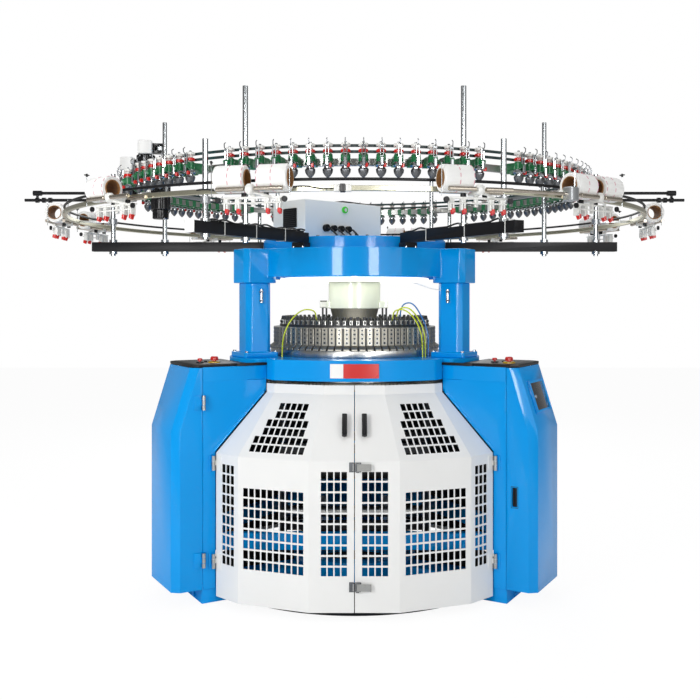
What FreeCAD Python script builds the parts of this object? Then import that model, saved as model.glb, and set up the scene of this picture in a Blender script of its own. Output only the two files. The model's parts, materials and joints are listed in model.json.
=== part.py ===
import FreeCAD, Part
import math
import os

# Circular knitting machine on three legs, in millimetres.
# +Z is up, the front (double doors) faces -Y, and the origin is on the floor on the machine's axis.

# ---------------------------------------------------------------- driving sizes: frame
leg_azimuths = {"front_left": 210.0, "front_right": 330.0, "rear": 90.0}
pad_height = 14.0
pad_radius = 60.0
foot_height = 72.0
foot_inner_r = 800.0
foot_outer_r = 940.0
foot_half_width = 70.0
hub_outer_r = 330.0
hub_inner_r = 250.0
hub_height = 112.0
hub_overlap = 20.0

leg_half_width = 176.0
leg_inner_r = 868.0
leg_depth = 64.0
leg_seam_r = leg_inner_r + leg_depth
leg_wall = 8.0
leg_slope_z = 719.0
leg_throat_z = 996.0
leg_top_z = 1128.0

bed_bottom_z = 1059.0
bed_top_z = 1159.0
bed_face_y = 610.0
bed_face_radius = 900.0
bed_corner_r = 700.0
bed_bore_r = 425.0
sign_half_width = 117.0
sign_bottom_z = 1075.0
sign_top_z = 1144.0
sign_thickness = 3.0

beam_distance = 520.0
beam_depth = 40.0
beam_low_z = 240.0
beam_high_z = 320.0

column_r = 588.0
column_width = 135.0
column_chamfer = 24.0
column_flange_width = 186.0
column_flange_height = 26.0

ring_bottom_z = 1564.0
ring_top_z = 1706.0
ring_r = 560.0
ring_wall = 22.0
ring_deck = 16.0
socket_width = 178.0
socket_bottom_z = 1534.0
tier_r = 490.0
tier_top_z = 1764.0
crown_hub_r = 165.0
crown_hub_bore_r = 60.0
rib_thickness = 30.0

lamp_outer_r = 400.0
lamp_inner_r = 176.0
lamp_thickness = 19.0

# ---------------------------------------------------------------- driving sizes: doors and guards
sheet = 4.0
fold_1_angle = 20.0
fold_2_angle = 43.0
door_low_y = 825.0
door_low_half = 206.0
door_low_side = 359.0
door_high_y = 588.0
door_high_half = 145.0
door_high_side = 262.0
door_bottom_z = 35.0
door_strip_height = 44.0
door_leg_gap = 7.5
door_split_gap = 4.0
guard_flange = 18.0
cell_width = 25.0
cell_height = 40.0
cell_pitch_u = 31.0
cell_pitch_v = 48.0
cell_first_x = 46.5
cell_top_drop = 67.0
cell_slope_start = 52.0
handle_length = 118.0
handle_width = 16.0
handle_reach = 26.0
handle_x = 46.0
handle_rise = 138.0
latch_heights = (693.0, 152.0)
latch_height = 44.0
latch_lever_length = 62.0
latch_plate = 3.0
door_hinge_heights = (672.0, 205.0)
hinge_height = 70.0
hinge_knuckle_r = 9.0
hinge_pin_r = 4.0
hinge_plate = 3.0
hinge_leaf = 20.0
hinge_back = 2.0
hinge_clear = 0.6

# ---------------------------------------------------------------- driving sizes: cabinet covers
cover_sheet = 3.0
cover_seam_gap = 2.0
cover_depth = 148.0
cover_bevel_depth = 112.0
cover_outer_r = leg_seam_r + cover_depth
cover_bevel_r = leg_seam_r + cover_bevel_depth
cover_bevel_s = 147.0
cover_kink_z = 828.0
cover_slope_in = 95.0
cover_top_gap = 2.0
cover_floor_gap = 14.0
cabinet_hinge_heights = (961.0, 215.0)
window_width = 196.0
window_height = 158.0
window_rise = 155.0
window_inset = 14.0
window_frame = 8.0
window_depth = 24.0
window_lip = 2.0
flap_thickness = 4.0
flap_barrel_r = 4.0
cup_depth = 12.0
cup_wall = 4.0
cabinet_top_thickness = 14.0
latch_recess_width = 33.0
latch_recess_height = 100.0
latch_recess_z = 515.5
latch_recess_start = 26.0
recess_fit = 0.4

# ---------------------------------------------------------------- driving sizes: knitting head
cylinder_r = 381.0
cylinder_wall = 25.0
cylinder_top_z = 1289.0
carrier_r = 405.0
carrier_top_z = 1152.0
bearing_low_z = 1075.0
bearing_high_z = 1145.0
running_fit = 0.06
seat_gap = 0.3

cam_base_outer_r = 452.0
cam_base_clearance = 7.0
cam_base_height = 36.0
cam_box_count = 72
cam_box_width = 30.0
cam_box_inner_r = 396.0
cam_box_face_r = 436.0
cam_box_foot_r = 460.0
cam_box_foot = 8.0
cam_box_flare = 18.0
cam_box_top_z = 1307.0

dial_r = 379.0
dial_thickness = 13.0
dial_gap = 3.0
dial_shaft_r = 40.0
dial_shaft_top = 1730.0
cam_plate_r = 404.0
cam_plate_thickness = 12.0
cam_plate_gap = 4.0
knob_count = 72
knob_ring_r = 386.0
knob_r = 7.0
knob_height = 40.0
knob_rail_inset = 85.0
knob_rail_half = 15.0
knob_rail_height = 18.0
housing_r = 140.0
housing_neck_r = 120.0
housing_neck_height = 80.0
housing_flange_r = 165.0
housing_flange = 19.0

gear_teeth = 140
gear_module = 6.7
gear_thickness = 30.0
gear_drop = 24.0
pinion_teeth = 14
gear_backlash = 1.2
gear_centre_r = gear_module * (gear_teeth + pinion_teeth) / 2

# ---------------------------------------------------------------- driving sizes: drive
drive_shaft_r = 17.5
shaft_bearing_r = 35.0
shaft_bearing_cap = 6.0
throat_clearance = 52.1
leg_throat_r = gear_centre_r + shaft_bearing_r + throat_clearance
driven_pulley_r = 60.0
motor_pulley_r = 45.0
pulley_width = 34.0
pulley_top_z = 975.0
belt_thickness = 6.0
belt_width = 26.0
motor_seat = 26.0
motor_plate = 12.0
motor_plate_gap = 8.0
motor_plate_edge = 8.0
motor_plate_clear = 70.0
motor_ribs = 11
motor_rib = 6.0
motor_rib_pitch = 16.0
motor_rib_start = 28.0
motor_box_side = 80.0
motor_box_low = 148.0
motor_box_tall = 100.0
motor_bore_depth = 40.0
motor_r = leg_seam_r + motor_seat
motor_body_r = 70.0
motor_shaft_r = 14.0
motor_length = 230.0
panel_back = 22.0
panel_sheet = 4.0
panel_half_width = 130.0
panel_height = 620.0
# start, depth and height of each row of boxes, as shares of the panel's height
panel_boxes = ((0.06, 0.11, 0.29), (0.4, 0.1, 0.15), (0.6, 0.07, 0.13), (0.77, 0.13, 0.18))

# ---------------------------------------------------------------- driving sizes: take-down
takedown_r = 345.0
takedown_plate = 14.0
takedown_half_gap = 380.0
takedown_half_depth = 230.0
takedown_neck = 150.0
takedown_neck_z = 700.0
takedown_bottom_z = 150.0
takedown_bar = 46.0
takedown_flange = 60.0
draw_roller_r = 36.0
draw_roller_z = 520.0
cloth_bar_r = 30.0
cloth_bar_z = 300.0
roller_pin_r = 12.0

# ---------------------------------------------------------------- driving sizes: crown
spoke_size = 50.0
spoke_wall = 4.0
front_spoke_z = 1755.0
side_spoke_z = 1735.0
front_spoke_end = 1360.0
side_spoke_end = 1420.0
spoke_start_r = 500.0
spoke_foot_r = 556.0
pole_r = 12.5
tall_pole_top = 2410.0
short_pole_top = 2130.0
front_tall_r = 980.0
side_tall_r = 1030.0
front_short_r = 1260.0
side_short_r = 1310.0
nut_height = 14.0
nut_r = 21.0
clamp_wall = 9.0
clamp_height = 28.0
rail_gap = 0.1

feeder_rail_r = 1122.0
feeder_rail_width = 21.0
feeder_rail_height = 30.0
feeder_rail_z = 2026.0
feeder_count = 104
feeder_reach = 108.0
feeder_body_width = 34.0
feeder_body_height = 36.0
feeder_nose = 18.0
feeder_taper = 30.0
feeder_rise = 6.0
feeder_round = 8.0
feeder_wheel_r = 20.0
feeder_wheel_height = 46.0
feeder_wheel_thickness = 14.0
guide_half_width = 8.0
guide_height = 40.0
guide_thickness = 6.0
feeder_axis_r = 1206.0
feeder_spool_r = 19.0
feeder_spool_length = 36.0
feeder_collar = 10.0
feeder_tip = 12.0
upper_belt_z = 2086.0
lower_belt_z = 2061.0
belt_ring_height = 12.0
belt_ring_thickness = 2.5

guide_ring_r = 1500.0
guide_ring_z = 1907.0
guide_tube_r = 6.0
ring_parts = 16
elastane_rail_z = 1872.0
elastane_rail_size = 20.0
unit_offset = 70.0
unit_r = guide_ring_r + unit_offset
unit_half_width = 20.0
unit_depth = 108.0
unit_low_z = 1838.0
unit_high_z = 1881.0
unit_roller_r = 9.0
unit_roller_spread = 88.0
unit_roller_z = 1862.0
unit_roller_length = 111.0
package_r = 52.0
package_core_r = 36.0
package_core_wall = 3.0
package_length = 118.0
package_start = 26.0
coupling_start = 40.0
coupling_length = 44.0
coupling_half_height = 28.0
coupling_shaft_r = 7.0
sensor_bar = 10.0
sensor_places = (-104.0, -58.0, 58.0, 104.0)
sensor_half_width = 9.0
sensor_drop = 44.0
sensor_tip = 14.0

outrigger_end = 1790.0
outrigger_upper_z = 2027.0
outrigger_lower_z = 1989.0
outrigger_r = 8.0
outrigger_step = 46.0
outrigger_clamp = 12.0
outrigger_head = 46.0
outrigger_link_r = 7.0
outrigger_knob_r = 14.0
outrigger_knob_half = 9.0
outrigger_knobs = (-70.0, -36.0, 0.0)

# ---------------------------------------------------------------- driving sizes: control box and motors
belt_motor_r = 48.5
motor_foot_r = 40.0
motor_foot_height = 44.0
motor_body_height = 124.0
motor_box_height = 71.0
motor_box_half_width = 36.0
motor_box_half_length = 68.0
fork_reach = 60.0
fork_half_width = 30.0
fork_half_height = 26.0
fork_slot = 24.0
fork_wall = 12.0
fork_pulley_r = 26.0
rail_arm_half_width = 20.0
box_corner = (-260.0, -150.0)
box_length = 564.0
box_depth = 270.0
box_height = 217.0
box_angle = 43.5
box_wall = 2.0
gland_pitch = 54.0
gland_rise = 70.0
gland_reach = 22.0
gland_r = 13.0
lamp_rise = 176.0
vent_depth = 6.0
line_r = 3.5
line_clearance = 38.0
line_places = ((308.0, 315.0, 0.0), (313.0, 317.5, 10.0), (318.0, 320.5, 34.0), (232.0, 221.0, 0.0))

button_r = 19.0
collar_r = 30.0
collar_height = 6.0
button_travel = 5.0
stem_r = 9.0
button_s = 65.0
button_radii = (leg_inner_r - 36.0, leg_inner_r + 38.0)
small_button = 0.62
key_r = 8.0
key_height = 5.0
key_pitch = 30.0
key_aside = 62.0


# ---------------------------------------------------------------- helpers
def vec(x, y, z=0.0):
    return FreeCAD.Vector(x, y, z)


def on_circle(radius, degrees):
    angle = math.radians(degrees)
    return radius * math.cos(angle), radius * math.sin(angle)


def prism(points, low, high):
    """A closed outline in plan, raised from one height to another."""
    wire = Part.makePolygon([vec(x, y, low) for x, y in points + [points[0]]])
    return Part.Face(wire).extrude(vec(0, 0, high - low))


def side_prism(points, low_s, high_s):
    """A closed outline in the radius-height plane, thickened along the tangent."""
    wire = Part.makePolygon([vec(r, low_s, z) for r, z in points + [points[0]]])
    return Part.Face(wire).extrude(vec(0, high_s - low_s, 0))


def block(low_x, high_x, low_y, high_y, low_z, high_z):
    size = (high_x - low_x, high_y - low_y, high_z - low_z)
    return Part.makeBox(size[0], size[1], size[2], vec(low_x, low_y, low_z))


def disc(radius, low, high, x=0.0, y=0.0):
    return Part.makeCylinder(radius, high - low, vec(x, y, low))


def ring(outer, inner, low, high, x=0.0, y=0.0):
    return disc(outer, low, high, x, y).cut(disc(inner, low - 1, high + 1, x, y))


def rod(start, end, radius):
    start, end = vec(*start), vec(*end)
    return Part.makeCylinder(radius, (end - start).Length, start, end - start)


def turned(shape, degrees):
    """A copy turned about the machine's axis: local X is the radius, local Y the tangent."""
    copy = shape.copy()
    copy.rotate(vec(0, 0, 0), vec(0, 0, 1), degrees)
    return copy


def mirrored(shape):
    return shape.mirror(vec(0, 0, 0), vec(1, 0, 0))


def joined(shapes):
    whole = shapes[0]
    if len(shapes) > 1:
        whole = shapes[0].fuse(shapes[1:])
    return whole.removeSplitter()


def ring_segments(outer, inner, low, high, count):
    """A ring as equal closed segments that meet face to face."""
    pieces = []
    whole = ring(outer, inner, low, high)
    step = 360.0 / count
    reach = outer / math.cos(math.radians(step / 2)) + 5
    for index in range(count):
        corners = [(0.0, 0.0), on_circle(reach, index * step), on_circle(reach, (index + 1) * step)]
        pieces.append(whole.common(prism(corners, low, high)))
    return pieces


def save(name, shapes):
    shapes = shapes if isinstance(shapes, list) else [shapes]
    solids = [solid for shape in shapes for solid in shape.Solids]
    whole = solids[0] if len(solids) == 1 else Part.makeCompound(solids)
    whole.exportStep("parts/" + name + ".step")
    volume = sum(solid.Volume for solid in solids)
    valid = all(solid.isValid() and solid.Volume > 0 for solid in solids)
    print(f"{name:24s} solids {len(solids):4d}  litres {volume / 1e6:9.3f}  valid {valid}")


# ---------------------------------------------------------------- folded sheet of doors and guards
def fold_points(front_y, half, side, end_s):
    """Outline of one half: centre facet, side facet, and end facet up to a line beside the leg."""
    cos_1, sin_1 = math.cos(math.radians(fold_1_angle)), math.sin(math.radians(fold_1_angle))
    cos_2, sin_2 = math.cos(math.radians(fold_2_angle)), math.sin(math.radians(fold_2_angle))
    first = (half, -front_y)
    second = (half + side * cos_1, -front_y + side * sin_1)
    # distance from the leg's centre plane is -0.5 x - 0.866 y on the front right leg
    lean = math.cos(math.radians(30))
    reach = (-0.5 * second[0] - lean * second[1] - end_s) / (0.5 * cos_2 + lean * sin_2)
    third = (second[0] + reach * cos_2, second[1] + reach * sin_2)
    return [(0.0, -front_y), first, second, third]


def inward(points, distance):
    """The same open outline moved towards the machine's axis by a distance."""
    lines = []
    for (ax, ay), (bx, by) in zip(points, points[1:]):
        length = math.hypot(bx - ax, by - ay)
        ux, uy = (bx - ax) / length, (by - ay) / length
        lines.append((ax - uy * distance, ay + ux * distance, ux, uy))
    moved = [(lines[0][0], lines[0][1])]
    for (ax, ay, ux, uy), (bx, by, wx, wy) in zip(lines, lines[1:]):
        cross = ux * wy - uy * wx
        along = ((bx - ax) * wy - (by - ay) * wx) / cross
        moved.append((ax + ux * along, ay + uy * along))
    last, (_, _, ux, uy) = points[-1], lines[-1]
    return moved + [(last[0] - uy * distance, last[1] + ux * distance)]


def loft(low_points, low, high_points, high):
    """A solid between two outlines with parallel sides, so every face is flat."""
    low_wire = Part.makePolygon([vec(x, y, low) for x, y in low_points + [low_points[0]]])
    high_wire = Part.makePolygon([vec(x, y, high) for x, y in high_points + [high_points[0]]])
    return Part.makeLoft([low_wire, high_wire], True, True)


def strip(points, thickness):
    return points + inward(points, thickness)[::-1]


def cell_cutter(base, angle, tilt, along, up, width, height):
    """A box that cuts one grille cell in a facet, given along and up the facet."""
    cutter = Part.makeBox(width, 40.0, height, vec(-width / 2, -20.0, -height / 2))
    cutter.rotate(vec(0, 0, 0), vec(1, 0, 0), -math.degrees(tilt))
    cutter.rotate(vec(0, 0, 0), vec(0, 0, 1), angle)
    turn = math.radians(angle)
    rise, run = up * math.cos(tilt), up * math.sin(tilt)
    x = base[0] + along * math.cos(turn) - run * math.sin(turn)
    y = base[1] + along * math.sin(turn) + run * math.cos(turn)
    cutter.translate(vec(x, y, base[2] + rise))
    return cutter


def facet_tilt(low_point, high_point, angle):
    turn = math.radians(angle)
    dx, dy = high_point[0] - low_point[0], high_point[1] - low_point[1]
    run = -dx * math.sin(turn) + dy * math.cos(turn)
    return math.atan2(run, leg_throat_z - leg_slope_z)


def grille_cells(low, high):
    """Cutters of one leaf: centre, side and end grilles below, and the stepped one on the slope."""
    cutters = []
    top = leg_slope_z - cell_top_drop
    for column in range(4):
        for row in range(10):
            base = (cell_first_x + column * cell_pitch_u, -door_low_y, top - row * cell_pitch_v)
            cutters.append(cell_cutter(base, 0.0, 0.0, 0.0, 0.0, cell_width, cell_height))
    for column in range(10):
        for row in range(8):
            base = (low[1][0], low[1][1], top - (2 + row) * cell_pitch_v)
            along = door_low_side / 2 + (column - 4.5) * cell_pitch_u
            cutters.append(cell_cutter(base, fold_1_angle, 0.0, along, 0.0, cell_width, cell_height))
    end_length = math.dist(low[2], low[3])
    for column in range(3):
        for row in range(10):
            base = (low[2][0], low[2][1], top - row * cell_pitch_v)
            along = end_length / 2 - 8.0 + (column - 1) * cell_pitch_u
            cutters.append(cell_cutter(base, fold_2_angle, 0.0, along, 0.0, cell_width, cell_height))
    tilt = facet_tilt(low[1], high[1], fold_1_angle)
    turn = math.radians(fold_1_angle)
    shift = (high[1][0] - low[1][0]) * math.cos(turn) + (high[1][1] - low[1][1]) * math.sin(turn)
    slope = math.hypot(leg_throat_z - leg_slope_z, math.tan(tilt) * (leg_throat_z - leg_slope_z))
    row_cells = (9, 9, 7, 7, 5, 5)
    for row, cells in enumerate(row_cells):
        up = cell_slope_start + row * cell_pitch_v
        share = up / slope
        middle = shift * share + (door_low_side * (1 - share) + door_high_side * share) / 2
        for column in range(cells):
            base = (low[1][0], low[1][1], leg_slope_z)
            along = middle + (column - (cells - 1) / 2) * cell_pitch_u
            cutters.append(cell_cutter(base, fold_1_angle, tilt, along, up, cell_width, cell_height))
    return cutters


def folded_leaf(low, high, flange):
    """Lower wall, slope and top strip of one half, as one folded sheet."""
    if flange:
        out = (guard_flange * math.cos(math.radians(-30)), guard_flange * math.sin(math.radians(-30)))
        low = low + [(low[-1][0] + out[0], low[-1][1] + out[1])]
        high = high + [(high[-1][0] + out[0], high[-1][1] + out[1])]
    wall = prism(strip(low, sheet), door_bottom_z, leg_slope_z)
    slope = loft(strip(low, sheet), leg_slope_z, strip(high, sheet), leg_throat_z)
    rim = prism(strip(high, sheet), leg_throat_z, leg_throat_z + door_strip_height)
    leaf = joined([wall, slope, rim])
    return leaf.cut(Part.makeCompound(grille_cells(low[:4], high[:4])))


def door_leaf():
    """The right-hand door leaf, split from its mate by a gap on the centre line."""
    end_s = leg_half_width + door_leg_gap
    low = fold_points(door_low_y, door_low_half, door_low_side, end_s)
    high = fold_points(door_high_y, door_high_half, door_high_side, end_s)
    leaf = folded_leaf(low, high, False)
    return leaf.cut(block(-sheet, door_split_gap / 2, -door_low_y - sheet, 0, 0, bed_top_z)), low, high


def slope_point(rise):
    """Height and depth of a point on the centre facet's slope, at a height above the fold."""
    run = (door_low_y - door_high_y) * rise / (leg_throat_z - leg_slope_z)
    return -door_low_y + run, leg_slope_z + rise


def door_handle():
    """Black bar handle and its two posts, square to the sloping centre facet of the right leaf."""
    tilt = math.atan2(door_low_y - door_high_y, leg_throat_z - leg_slope_z)
    bar = block(-handle_width / 2, handle_width / 2, -handle_reach, -handle_reach + 10.0,
                -handle_length / 2, handle_length / 2)
    pieces = [bar]
    for z in (-handle_length / 2 + 12.0, handle_length / 2 - 12.0):
        pieces.append(rod((0, -handle_reach + 10.0, z), (0, 0, z), 6.0))
    y, z = slope_point(handle_rise)
    for piece in pieces:
        piece.rotate(vec(0, 0, 0), vec(1, 0, 0), -math.degrees(tilt))
        piece.translate(vec(handle_x, y, z))
    return pieces


def plate_between(start, end, thickness, low, high):
    """A flat plate in plan from one point to another, centred on the line."""
    length = math.dist(start, end)
    plate = block(0, length, -thickness / 2, thickness / 2, low, high)
    angle = math.degrees(math.atan2(end[1] - start[1], end[0] - start[0]))
    plate.rotate(vec(0, 0, 0), vec(0, 0, 1), angle)
    plate.translate(vec(start[0], start[1], 0))
    return plate


def hinge_levels(middle):
    """Bottom of the hinge, the two gaps of the middle knuckle, and the top."""
    low = middle - hinge_height / 2
    third = hinge_height / 3
    return low, low + third, low + 2 * third, low + hinge_height


def hinge_offset():
    """How far a hinge's axis stands off the leg's side face."""
    return hinge_plate + hinge_knuckle_r + hinge_clear


def fixed_hinge(x, side, outward, middle):
    """Plate on the leg's side face with two knuckles and the pin; side is the sign of the tangent.

    The plate points away from the door or cover that the hinge carries: outward is 1 or -1."""
    low, first, second, high = hinge_levels(middle)
    depth = hinge_offset()
    near, far = sorted((x - outward * hinge_back, x + outward * hinge_leaf))
    parts = [block(near, far, 0, hinge_plate, low, high)]
    inner, outer = sorted((x, x + outward * hinge_knuckle_r))
    for bottom, top in ((low, first), (second, high)):
        parts.append(block(inner, outer, 0, depth, bottom, top))
        parts.append(disc(hinge_knuckle_r, bottom, top, x, depth))
    parts.append(disc(hinge_pin_r, low - hinge_plate, high + hinge_plate, x, depth))
    half = joined(parts)
    half.translate(vec(0, leg_half_width, 0))
    return half if side > 0 else half.mirror(vec(0, 0, 0), vec(0, 1, 0))


# ---------------------------------------------------------------- frame pieces
def base_frame():
    """Hub ring on the floor with three arms that end in blocks under the legs."""
    parts = [ring(hub_outer_r, hub_inner_r, pad_height, hub_height)]
    for azimuth in leg_azimuths.values():
        arm = block(hub_outer_r - hub_overlap, foot_outer_r, -foot_half_width, foot_half_width,
                    pad_height, foot_height)
        parts.append(turned(arm, azimuth))
    return joined(parts)


def levelling_feet():
    middle = (foot_inner_r + foot_outer_r) / 2
    pad = disc(pad_radius, 0, pad_height, middle, 0)
    return [turned(pad, azimuth) for azimuth in leg_azimuths.values()]


def leg(azimuth, belt_window, closed):
    """Welded box: narrow at the floor, widening inwards to carry the bed, open towards its cover."""
    end = leg_seam_r - leg_wall if closed else leg_seam_r + 1
    outline = [(leg_inner_r, foot_height), (leg_seam_r, foot_height), (leg_seam_r, leg_top_z),
               (bed_corner_r + 5.0, leg_top_z), (bed_corner_r + 5.0, bed_bottom_z),
               (leg_throat_r, bed_bottom_z), (leg_throat_r, leg_throat_z), (leg_inner_r, leg_slope_z)]
    wall = leg_wall
    run, rise = leg_inner_r - leg_throat_r, leg_throat_z - leg_slope_z
    shift = wall * math.hypot(run, rise) / rise
    hollow = [(leg_inner_r + wall, foot_height + wall), (end, foot_height + wall),
              (end, leg_top_z - wall), (bed_corner_r + 5.0 + wall, leg_top_z - wall),
              (bed_corner_r + 5.0 + wall, bed_bottom_z - wall),
              (leg_throat_r + wall, bed_bottom_z - wall),
              (leg_throat_r + wall, leg_throat_z + (shift - wall) * rise / run),
              (leg_inner_r + wall, leg_slope_z + (shift - wall) * rise / run)]
    body = side_prism(outline, -leg_half_width, leg_half_width)
    body = body.cut(side_prism(hollow, -leg_half_width + wall, leg_half_width - wall))
    if not closed:
        edge = cover_bevel_s - cover_floor_gap
        floor = block(leg_inner_r + wall, cover_outer_r - cover_floor_gap, -edge, edge,
                      foot_height, foot_height + wall)
        body = joined([body, floor])
    if belt_window:
        half = driven_pulley_r + 14.0
        body = body.cut(block(leg_throat_r - 5.0, leg_inner_r, -half, half,
                              pulley_top_z - pulley_width - 12.0, pulley_top_z + 12.0))
    return turned(body, azimuth)


def bed_outline(radius, face_distance, low, high):
    """Rounded triangle: three big discs overlapped, corners trimmed by a circle."""
    offset = radius - face_distance
    shape = disc(bed_corner_r, low, high)
    for azimuth in leg_azimuths.values():
        x, y = on_circle(offset, azimuth)
        shape = shape.common(disc(radius, low, high, x, y))
    return shape


def bed_plate():
    plate = bed_outline(bed_face_radius, bed_face_y, bed_bottom_z, bed_top_z)
    plate = plate.cut(disc(bed_bore_r, bed_bottom_z - 1, bed_top_z + 1))
    x, y = on_circle(gear_centre_r, leg_azimuths["front_left"])
    return plate.cut(disc(drive_shaft_r + 2.0, bed_bottom_z - 1, bed_bottom_z + 60.0, x, y))


def sign_plate():
    centre = bed_face_radius - bed_face_y
    inner = bed_face_radius + 0.05
    shell = ring(inner + sign_thickness, inner, sign_bottom_z, sign_top_z, 0, centre)
    return shell.common(block(-sign_half_width, sign_half_width, -bed_face_y - 20.0, -bed_face_y + 60.0,
                              sign_bottom_z, sign_top_z))


def chamfered(width, chamfer, low, high, x=0.0):
    half = width / 2
    cut = half - chamfer
    points = [(-half, -cut), (-cut, -half), (cut, -half), (half, -cut),
              (half, cut), (cut, half), (-cut, half), (-half, cut)]
    return prism([(x + px, py) for px, py in points], low, high)


def column(azimuth):
    """Post between the bed and the top ring, with a square foot flange and an inner key block."""
    post = chamfered(column_width, column_chamfer, bed_top_z, socket_bottom_z, column_r)
    half = column_flange_width / 2
    foot = chamfered(column_flange_width, 10.0, bed_top_z, bed_top_z + column_flange_height, column_r)
    key = block(column_r - half - 22.0, column_r - half + 4.0, -30.0, 30.0, bed_top_z, bed_top_z + 18.0)
    return turned(joined([post, foot, key]), azimuth)


def top_ring():
    """Cast crown: band with deck, three column sockets, inner hub on ribs and a raised tier."""
    band = ring(ring_r, ring_r - ring_wall, ring_bottom_z, ring_top_z)
    deck = ring(ring_r, crown_hub_bore_r, ring_top_z - ring_deck, ring_top_z)
    hub = ring(crown_hub_r, crown_hub_bore_r, ring_bottom_z, ring_top_z - ring_deck)
    tier = ring(tier_r, tier_r - ring_wall, ring_top_z, tier_top_z)
    lid = ring(tier_r - ring_wall, crown_hub_bore_r, tier_top_z - ring_deck, tier_top_z)
    parts = [band, deck, hub, tier, lid]
    for azimuth in leg_azimuths.values():
        socket = chamfered(socket_width, column_chamfer, socket_bottom_z, ring_top_z, column_r)
        parts.append(turned(socket, azimuth))
        rib = block(crown_hub_r - 8.0, ring_r - ring_wall + 4.0, -rib_thickness / 2, rib_thickness / 2,
                    ring_bottom_z, ring_top_z - ring_deck)
        parts.append(turned(rib, azimuth + 60.0))
    return joined(parts)


def ring_lamp():
    return ring(lamp_outer_r, lamp_inner_r, ring_bottom_z - lamp_thickness, ring_bottom_z)


def cross_beams():
    """Three flat beams between the legs' inner walls, below the take-down frame's edge."""
    beams = []
    lean = math.cos(math.radians(30))
    for azimuth in leg_azimuths.values():
        front, back = -beam_distance - beam_depth / 2, -beam_distance + beam_depth / 2
        front_x, back_x = (leg_inner_r + 0.5 * front) / lean, (leg_inner_r + 0.5 * back) / lean
        points = [(-front_x, front), (front_x, front), (back_x, back), (-back_x, back)]
        beams.append(turned(prism(points, beam_low_z, beam_high_z), azimuth - 90.0))
    return beams


def cabinet_top(azimuth, side):
    """Black plate over a leg, with the stop buttons' collars and two small keys."""
    top = leg_top_z + cabinet_top_thickness
    edge = leg_half_width - 4.0
    outer = cover_outer_r - cover_slope_in
    bevel = cover_bevel_r - cover_slope_in
    points = [(bed_corner_r + 5.0, -edge), (bevel, -edge), (outer, -cover_bevel_s),
              (outer, cover_bevel_s), (bevel, edge), (bed_corner_r + 5.0, edge)]
    parts = [prism(points, leg_top_z, top)]
    stop_x, small_x = button_places(side)
    y = side * button_s
    holes = []
    for x, scale in ((stop_x, 1.0), (small_x, small_button)):
        parts.append(disc(collar_r * scale, top, top + collar_height, x, y))
        holes.append(disc(stem_r * scale + seat_gap, leg_top_z - 1, top + collar_height + 1, x, y))
    for index in range(2):
        key_x = (stop_x + small_x) / 2 - key_pitch * (index - 0.5)
        parts.append(disc(key_r, top, top + key_height, key_x, y - side * key_aside))
    return turned(joined(parts).cut(Part.makeCompound(holes)), azimuth)


def button_places(side):
    """Radii of the mushroom button and the small one; the two panels are not mirror images."""
    return button_radii if side > 0 else button_radii[::-1]


def stop_button(azimuth, side, small):
    """Red head on a stem that slides through its collar."""
    scale = small_button if small else 1.0
    x = button_places(side)[1 if small else 0]
    base = leg_top_z + cabinet_top_thickness + collar_height + button_travel + seat_gap
    head = disc(button_r * scale, base, base + 12.0 * scale, x, side * button_s)
    crown = disc(button_r * scale * 0.8, base + 12.0 * scale, base + 18.0 * scale, x, side * button_s)
    stem = disc(stem_r * scale, leg_top_z + button_travel + 1.0, base, x, side * button_s)
    return turned(joined([head, crown, stem]), azimuth)


# ---------------------------------------------------------------- doors, guards and covers
def door_hinge_axis():
    """Axis of the right door's hinges in the leg's own frame: radius, and tangent towards the door."""
    return leg_inner_r + 16.0, -(leg_half_width + hinge_offset())


def door_hinge_half(low_path, middle):
    """Moving half on the end facet of the right door: plate, web and middle knuckle."""
    _, first, second, _ = hinge_levels(middle)
    x, y = door_hinge_axis()
    turn = math.radians(leg_azimuths["front_right"])
    axis = (x * math.cos(turn) - y * math.sin(turn), x * math.sin(turn) + y * math.cos(turn))
    end, before = low_path[3], low_path[2]
    length = math.dist(end, before)
    along = ((before[0] - end[0]) / length, (before[1] - end[1]) / length)
    normal = (-along[1], along[0])
    normal = normal if normal[0] > 0 else (-normal[0], -normal[1])
    start = (end[0] + along[0] * 3.0, end[1] + along[1] * 3.0)
    stop = (end[0] + along[0] * 36.0, end[1] + along[1] * 36.0)
    corners = [start, stop, (stop[0] + normal[0] * hinge_plate, stop[1] + normal[1] * hinge_plate),
               (start[0] + normal[0] * hinge_plate, start[1] + normal[1] * hinge_plate)]
    plate = prism(corners, hinge_levels(middle)[0], hinge_levels(middle)[3])
    root = (start[0] + along[0] * 2.0 + normal[0] * 1.5, start[1] + along[1] * 2.0 + normal[1] * 1.5)
    web = plate_between(root, axis, 3.0, first + hinge_clear, second - hinge_clear)
    knuckle = disc(hinge_knuckle_r, first + hinge_clear, second - hinge_clear, axis[0], axis[1])
    half = joined([plate, web, knuckle])
    return half.cut(disc(hinge_pin_r + running_fit, first, second, axis[0], axis[1]))


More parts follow.
